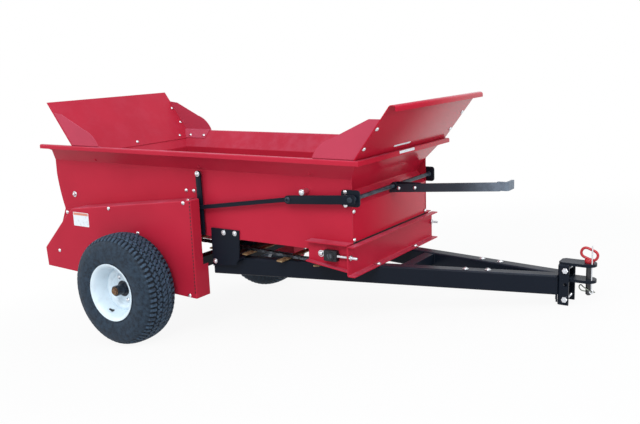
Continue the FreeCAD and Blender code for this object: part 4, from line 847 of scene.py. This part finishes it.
hardware("housing_bolts", *[domed_bolt((1009, y, 374), (0, 0, 1), 8, 6, 12)
                            for y in (-150, 150)])


# -------------------------------- rotor and chute
# The rotor under the hopper's rear is a black steel drum with welded blades. It runs in
# flanged bearings, each on a red plate that closes the side of the chute.
ROTOR_X, ROTOR_Z = -490.0, 332.0
BEARING_FACE_Y = 313.0
BEARING_BOLT_R = 27.0

paint(red, "chute_side_left", "chute_side_right")
paint(black, "rotor")
heads = []
for sign in (-1, 1):
    for i in range(4):
        a = math.radians(45 + 90 * i)
        heads.append(hexed((ROTOR_X + BEARING_BOLT_R * math.cos(a), sign * BEARING_FACE_Y,
                            ROTOR_Z + BEARING_BOLT_R * math.sin(a)), (0, sign, 0), 13, 6))
hardware("rotor_bearing_bolts", *heads)


# -------------------------------- drawbar
# Two rectangular tubes run from under the hopper to the hitch, with a cross tube near each
# end. They are welded mild steel in the black enamel, and hang from the hopper on bolted
# bracket plates.
BAR_REAR_X, BAR_FRONT_X = 337.0, 1634.0
BAR_REAR_TOP, BAR_RISE = 356.5, 25.0
BAR_SPLAY = 0.19275         # how far a tube comes in for each millimetre ahead
BAR_W = 51.5
CROSS_TUBES = ((1080, 1120), (351, 391))        # their rear and front faces


def bar_top(x):
    """Height of a tube's top."""
    return BAR_REAR_TOP + BAR_RISE * (x - BAR_REAR_X) / (BAR_FRONT_X - BAR_REAR_X)


paint(black, "drawbar_left", "drawbar_right", "drawbar_brace", "drawbar_rear_brace",
      "hopper_bracket_left", "hopper_bracket_right")
beads, heads = [], []
for sign in (-1, 1):
    for rear, front in CROSS_TUBES:
        rear_y, front_y = [sign * (SIDE_Y - BAR_W - BAR_SPLAY * (x - BAR_REAR_X))
                           for x in (rear, front)]
        top, low = bar_top(rear) - 3, bar_top(rear) - 43
        beads.append(weld([(rear - 1, rear_y, low), (rear - 1, rear_y, top),
                           (front + 1, front_y, top), (front + 1, front_y, low)], 2.8))
    beads.append(weld([(BAR_FRONT_X - 1, sign * 41, 300),
                       (BAR_FRONT_X - 1, sign * 41, bar_top(BAR_FRONT_X) - 3)], 3.0))
    beads.append(weld([(340, sign * (SIDE_Y + 0.4), bar_top(340) - 1),
                       (476, sign * 268, bar_top(476) + 0.5)], 2.4))
    heads += [domed_bolt((x, sign * y, bar_top(x)), (0, 0, 1), 8, 5, 11)
              for x, y in ((1322, 78), (1398, 60))]
    heads += [domed_bolt((x, sign * (PLATE_Y + 0.2), z), (0, sign, 0), 7.5, 5, 10.5)
              for x, z in ((401, 464), (457, 466), (350, 343))]
welded("drawbar_welds", *beads)
hardware("drawbar_bolts", *heads)


# -------------------------------- hitch
# An upright channel is welded to the nose of the drawbar; two plated hex bolts hold the
# clevis in it, by the outer two of three holes. A drop pin with red collar and loop joins
# it to the tractor; a spring wire clip keeps it in, beside a plated rod.
HITCH_HOLE_X = 1661.2
HITCH_BOLT_Z = (302.0, 402.0)
CHANNEL_HALF = 40.2
PIN_X = 1728.0
PIN_FOOT, PIN_SEAT, CLIP_Z = 316.2, 427.4, 328.2
LOOP_TILT = math.radians(20)
ROD_X, ROD_Y, EYE_R = 1741.5, -17.0, 5.5

paint(black, "hitch_channel", "clevis")
bolts = []
for z in HITCH_BOLT_Z:
    for sign in (-1, 1):
        face = sign * CHANNEL_HALF
        bolts.append(hexed((HITCH_HOLE_X, face, z), (0, sign, 0), 18, 7.5 if sign < 0 else 10))
        bolts.append(domed_bolt((HITCH_HOLE_X, face, z), (0, sign, 0), 6.5,
                                8.3 if sign < 0 else 10.5))
    bolts.append(threaded((HITCH_HOLE_X, -CHANNEL_HALF, z), (0, 1, 0), 2 * CHANNEL_HALF + 15, 6))
hex_bolts = hardware("hitch_hex_bolts", *bolts)
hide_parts("clevis_bolts")
beads = [weld([(1640, sign * 30.4, 417.6), (1671, sign * 30.4, 417.6)], 2.4) for sign in (-1, 1)]
beads += [weld([(1634, sign * 40, 290), (1634, sign * 40, 376)], 2.8) for sign in (-1, 1)]
beads += [weld([(1669.4, sign * 24, z), (1669.4, sign * 33.5, z)], 2.2)
          for sign in (-1, 1) for z in (361.6, 372.8)]
welded("hitch_welds", *beads)

shade = bare_material("oiled_pin_steel")
smear = noise(shade, 0.008, 3.0)
pin_steel = finished(shade, smear, (0.030, 0.031, 0.035), (0.095, 0.095, 0.100),
                     0.32 + 0.2 * smear, more={"Metallic": 0.85})
shade = bare_material("red_pin_dip")
chips = noise(shade, 0.005, 5.0, 0.7).within(0.62, 0.72)
pin_red = finished(shade, chips, (0.42, 0.012, 0.022), (0.06, 0.04, 0.04), 0.36 + 0.3 * chips,
                   chips, -0.0002)
drop_pin = piece("drop_pin", lathe([
    (0, 0), (0, 6.0), (4, 9.3), (PIN_SEAT - PIN_FOOT, 9.5), (PIN_SEAT - PIN_FOOT, 0)],
    (PIN_X, 0, PIN_FOOT), (0, 0, 1), 40), pin_steel, "chassis")
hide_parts("hitch_pin")
loop = []
for u, v in resampled(rounded_outline(55, 33, 15), 56, True):
    loop.append((PIN_X + u * math.cos(LOOP_TILT) + v * math.sin(LOOP_TILT), 0,
                 PIN_SEAT + 30 + v * math.cos(LOOP_TILT) - u * math.sin(LOOP_TILT)))
piece("pin_loop", joined(
    lathe([(0, 0), (0, 14.2), (1, 15), (11.5, 15), (13, 13.6), (13.4, 6), (13.4, 0)],
          (PIN_X, 0, PIN_SEAT), (0, 0, 1), 40),
    tube(loop, 4.5, 16, True)), pin_red, "chassis", 50)
clip = smooth_path([(1750, 0, CLIP_Z), (1728, 0, CLIP_Z), (1711, 0, CLIP_Z),
                    (1703, -1, CLIP_Z + 3), (1698, -2, CLIP_Z + 11), (1700, -4, CLIP_Z + 19),
                    (1706, -7, CLIP_Z + 22), (1714, -10.5, CLIP_Z + 17),
                    (1728, -12.6, CLIP_Z + 10), (1739, -11, CLIP_Z + 4),
                    (1748, -10, CLIP_Z + 7)], 90)
shade = bare_material("spring_wire")
spring = finished(shade, noise(shade, 0.004), (0.30, 0.33, 0.27), (0.12, 0.14, 0.13), 0.38,
                  more={"Metallic": 0.8})
wire_clip = piece("wire_clip", tube(clip, 2.0, 12), spring, "chassis", 60)
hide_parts("hairpin")
eye = [(ROD_X + EYE_R * math.sin(t), ROD_Y, CLIP_Z + EYE_R - EYE_R * math.cos(t))
       for t in np.linspace(math.pi, -0.6 * math.pi, 20)]
piece("clip_rod", tube([(ROD_X, ROD_Y, z) for z in (491, 489, 350)] + eye,
                       [1.4] + [2.2] * 22, 12), zinc, "chassis", 60)


# -------------------------------- drive covers
# Over the drive of each wheel is a folded and welded sheet cover in the same red, bolted to
# the hopper's side. Its front corner is closed by a row of short stitches; dark patches laid
# along it are painted shade of the gaps between them. A blank label with a plain orange band
# is stuck near its rear.
COVER_Y = 377.0
COVER_BOLTS = ((-159, 530), (270, 586), (5, 439), (-506, 310), (-427, 493), (272, 210))
LABEL_X, LABEL_Z = -341.0, 466.5
CORNER_X = 303.0            # front corner of a cover
STITCH_STEP = 14.5

paint(red, "drive_cover_left", "drive_cover_right")
hardware("cover_bolts",
         *[domed_bolt((x, sign * COVER_Y, z), (0, sign, 0))
           for x, z in COVER_BOLTS for sign in (-1, 1)],
         *[domed_bolt((277, y, 595.0), (-0.124, 0, 0.992), 7.5, 4) for y in (-353, 353)])
# Dark patches along each cover's front corner: painted shade of the gaps at the stitches.
shade = bare_material("painted_gap_shadow")
gap_shade_paint = finished(shade, noise(shade, 0.003), (0.012, 0.003, 0.006), (0.050, 0.006, 0.012),
                       0.7)
piece("corner_gap_shadows", joined(*[
    label((CORNER_X, sign * (COVER_Y + 0.05), z), (1, 0, 0), (0, 0, 1), 5, 8.5, 0.4, 1.5)
    for sign in (-1, 1) for z in np.arange(226, 590, STITCH_STEP)]), gap_shade_paint, "chassis")
shade = bare_material("orange_band")
orange = finished(shade, noise(shade, 0.01), (0.68, 0.26, 0.17), (0.60, 0.20, 0.13), 0.35)
piece("cover_labels", joined(*[
    label((LABEL_X, sign * (COVER_Y + 0.1), LABEL_Z), (1, 0, 0), (0, 0, 1), 98, 61, 0.3, 3)
    for sign in (-1, 1)]), film, "chassis")
piece("cover_label_bands", joined(*[
    label((LABEL_X, sign * (COVER_Y + 0.3), LABEL_Z + 23), (1, 0, 0), (0, 0, 1), 92, 10.5, 0.25,
          1) for sign in (-1, 1)]), orange, "chassis")


# -------------------------------- clutch control
# A shaft across the front turns in two bolted plates. The handle on it is lifted, and an arm
# at its right-hand end draws the link and the clutch lever forward. The bars are
# flat steel in the black enamel; the handle turns lighter bluish grey towards its grip, and
# the shaft's enamel has lighter bluish patches painted in as sheen.
SHAFT_X, SHAFT_Z = 1003.0, 643.0
BEARING_PLATE_X = 988.0
ARM_END_X, ARM_END_Z = 737.6, 624.4
STOP_X, STOP_Z = 801.6, 656.5
LEVER_X, LEVER_Z, LEVER_PIN_Z = 293.0, 693.0, 559.0
HANDLE_END_X = 1449.0
HANDLE_BOLTS = ((1024, 635), (1091, 640.5))
BEARING_IN, BEARING_OUT = 293.2, 301.2  # faces of a bearing plate, from the middle
LEVER_IN, LEVER_OUT = 304.5, 310.5      # of the clutch lever
ARM_IN, ARM_OUT = 318.5, 326.5          # of the arm
PIN_END = 328.4             # under the heads of the arm's pin and stop


def flat_bar(start, end, width, start_round, end_round):
    """Outline of a flat bar round two points, the corners of its ends rounded."""
    start, end = np.array(start, float), np.array(end, float)
    reach = np.linalg.norm(end - start)
    u = (end - start) / reach
    n = np.array([-u[1], u[0]])
    half = width / 2
    return [start + u * x + n * y
            for x, y in rounded_box(-half, reach + half, half, start_round, end_round, 7)]


def sleeve(x, z, y0, y1, radius, bore=0):
    """Plain collar about a line across the machine."""
    ease = 0.8
    return lathe([(y0, bore), (y0, radius - ease), (y0 + ease, radius), (y1 - ease, radius),
                  (y1, radius - ease), (y1, bore)], (x, 0, z), (0, 1, 0), 32, bore > 1)


# The handle turns lighter bluish grey towards its grip end, in patches.
shade = bare_material("handle_enamel")
lighter_share = along(shade, at(SHAFT_X, 0, SHAFT_Z), at(HANDLE_END_X, 0, SHAFT_Z)).within(0.55, 1.0)
lighter_share = lighter_share * (0.75 + 0.5 * noise(shade, 0.02, 4.0, 0.6).within(0.3, 0.7))
handle_paint = finished(shade, lighter_share, (0.013, 0.020, 0.032), (0.125, 0.160, 0.205),
                        0.42 + 0.12 * noise(shade, 0.05), noise(shade, 0.003), 0.00008,
                        {"Specular IOR Level": 0.4})
# The shaft's lighter bluish patches are painted sheen.
shade = bare_material("shaft_enamel_painted_sheen")
sheen_patched_shaft_enamel = finished(shade, noise(shade, 0.03, 4.0).within(0.35, 0.7), (0.010, 0.017, 0.028),
                       (0.045, 0.064, 0.090), 0.30 + 0.2 * noise(shade, 0.01),
                       more={"Specular IOR Level": 0.3})
paint(black, "link")
paint(handle_paint, "handle")
plate_outline = [(BEARING_PLATE_X + u, SHAFT_Z + v) for u, v in rounded_outline(74, 59, 11)]
plates = piece("bearing_plates", joined(plate(plate_outline, -BEARING_OUT, -BEARING_IN),
                                        plate(plate_outline, BEARING_IN, BEARING_OUT)),
               black, "chassis")
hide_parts("bearing_plate_left", "bearing_plate_right")
lever = piece("lever_bar", plate(flat_bar((300, 459), (LEVER_X + 1.5, LEVER_Z), 25, 4, 12),
                                 -LEVER_OUT, -LEVER_IN), black, "clutch_lever")
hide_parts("clutch_lever")
lug = [(SHAFT_X, 629.5), (1107, 631.5), (1116, 643), (1107, 658.5), (SHAFT_X, 656.5)]
shaft = piece("cross_shaft_bar", joined(
    lathe([(-331.5, 0), (-331.5, 9), (-330.5, 10), (-291, 10), (-289, 7.8), (288, 7.8),
           (290, 10), (305, 10), (306, 9), (306, 0)], (SHAFT_X, 0, SHAFT_Z), (0, 1, 0), 32)),
    sheen_patched_shaft_enamel, "control")
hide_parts("cross_shaft")
piece("cross_shaft_arms", joined(
    lathe([(-12, 7.9), (-12, 12), (-11, 13), (13, 13), (14, 12), (14, 7.9)],
          (SHAFT_X, 0, SHAFT_Z), (0, 1, 0), 32, True),
    plate(flat_bar((ARM_END_X, ARM_END_Z), (SHAFT_X, SHAFT_Z), 31.5, 15.5, 5), -ARM_OUT,
          -ARM_IN),
    plate(lug, 0.1, 10)), black, "control")
hardware("bearing_plate_bolts", *[domed_bolt((968, sign * BEARING_OUT, z), (0, sign, 0))
                                  for sign in (-1, 1) for z in (665, 617)])
hardware("handle_bolts",
         *[domed_bolt((x, -10.2, z), (0, -1, 0), 7.5, 5) for x, z in HANDLE_BOLTS],
         *[hexed((x, 10.1, z), (0, 1, 0), 17, 8) for x, z in HANDLE_BOLTS], body="control")
welded("arm_welds", *[
    weld([(SHAFT_X + 11 * math.cos(a), y, SHAFT_Z + 11 * math.sin(a)) for a in full_turn(24)],
         1.6, True) for y in (-ARM_OUT - 0.7, -ARM_IN + 0.9)], body="control")
piece("arm_pin", joined(
    sleeve(ARM_END_X, ARM_END_Z, -PIN_END, -ARM_OUT - 0.1, 11.5, 5.2),
    domed_bolt((ARM_END_X, -PIN_END, ARM_END_Z), (0, -1, 0), 8.5, 4.5)), sheen_patched_shaft_enamel, "link")
hardware("link_rear_pin", domed_bolt((LEVER_X, -317.6, LEVER_PIN_Z), (0, -1, 0), 7, 3.5),
         body="link")
pivot = hardware("lever_pivot_bolt", sleeve(LEVER_X, LEVER_Z, -304.2, -BEARING_IN, 9.4),
                 sleeve(LEVER_X, LEVER_Z, -311, -303, 5.9),
                 domed_bolt((LEVER_X, -310.8, LEVER_Z), (0, -1, 0), 9, 5.5, 11.5))
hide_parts("lever_pivot")
stop = hardware("arm_stop_stud", sleeve(STOP_X, STOP_Z, -PIN_END, -BEARING_IN, 10.9),
                domed_bolt((STOP_X, -PIN_END, STOP_Z), (0, -1, 0), 8.5, 5.5, 10.5))
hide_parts("arm_stop")
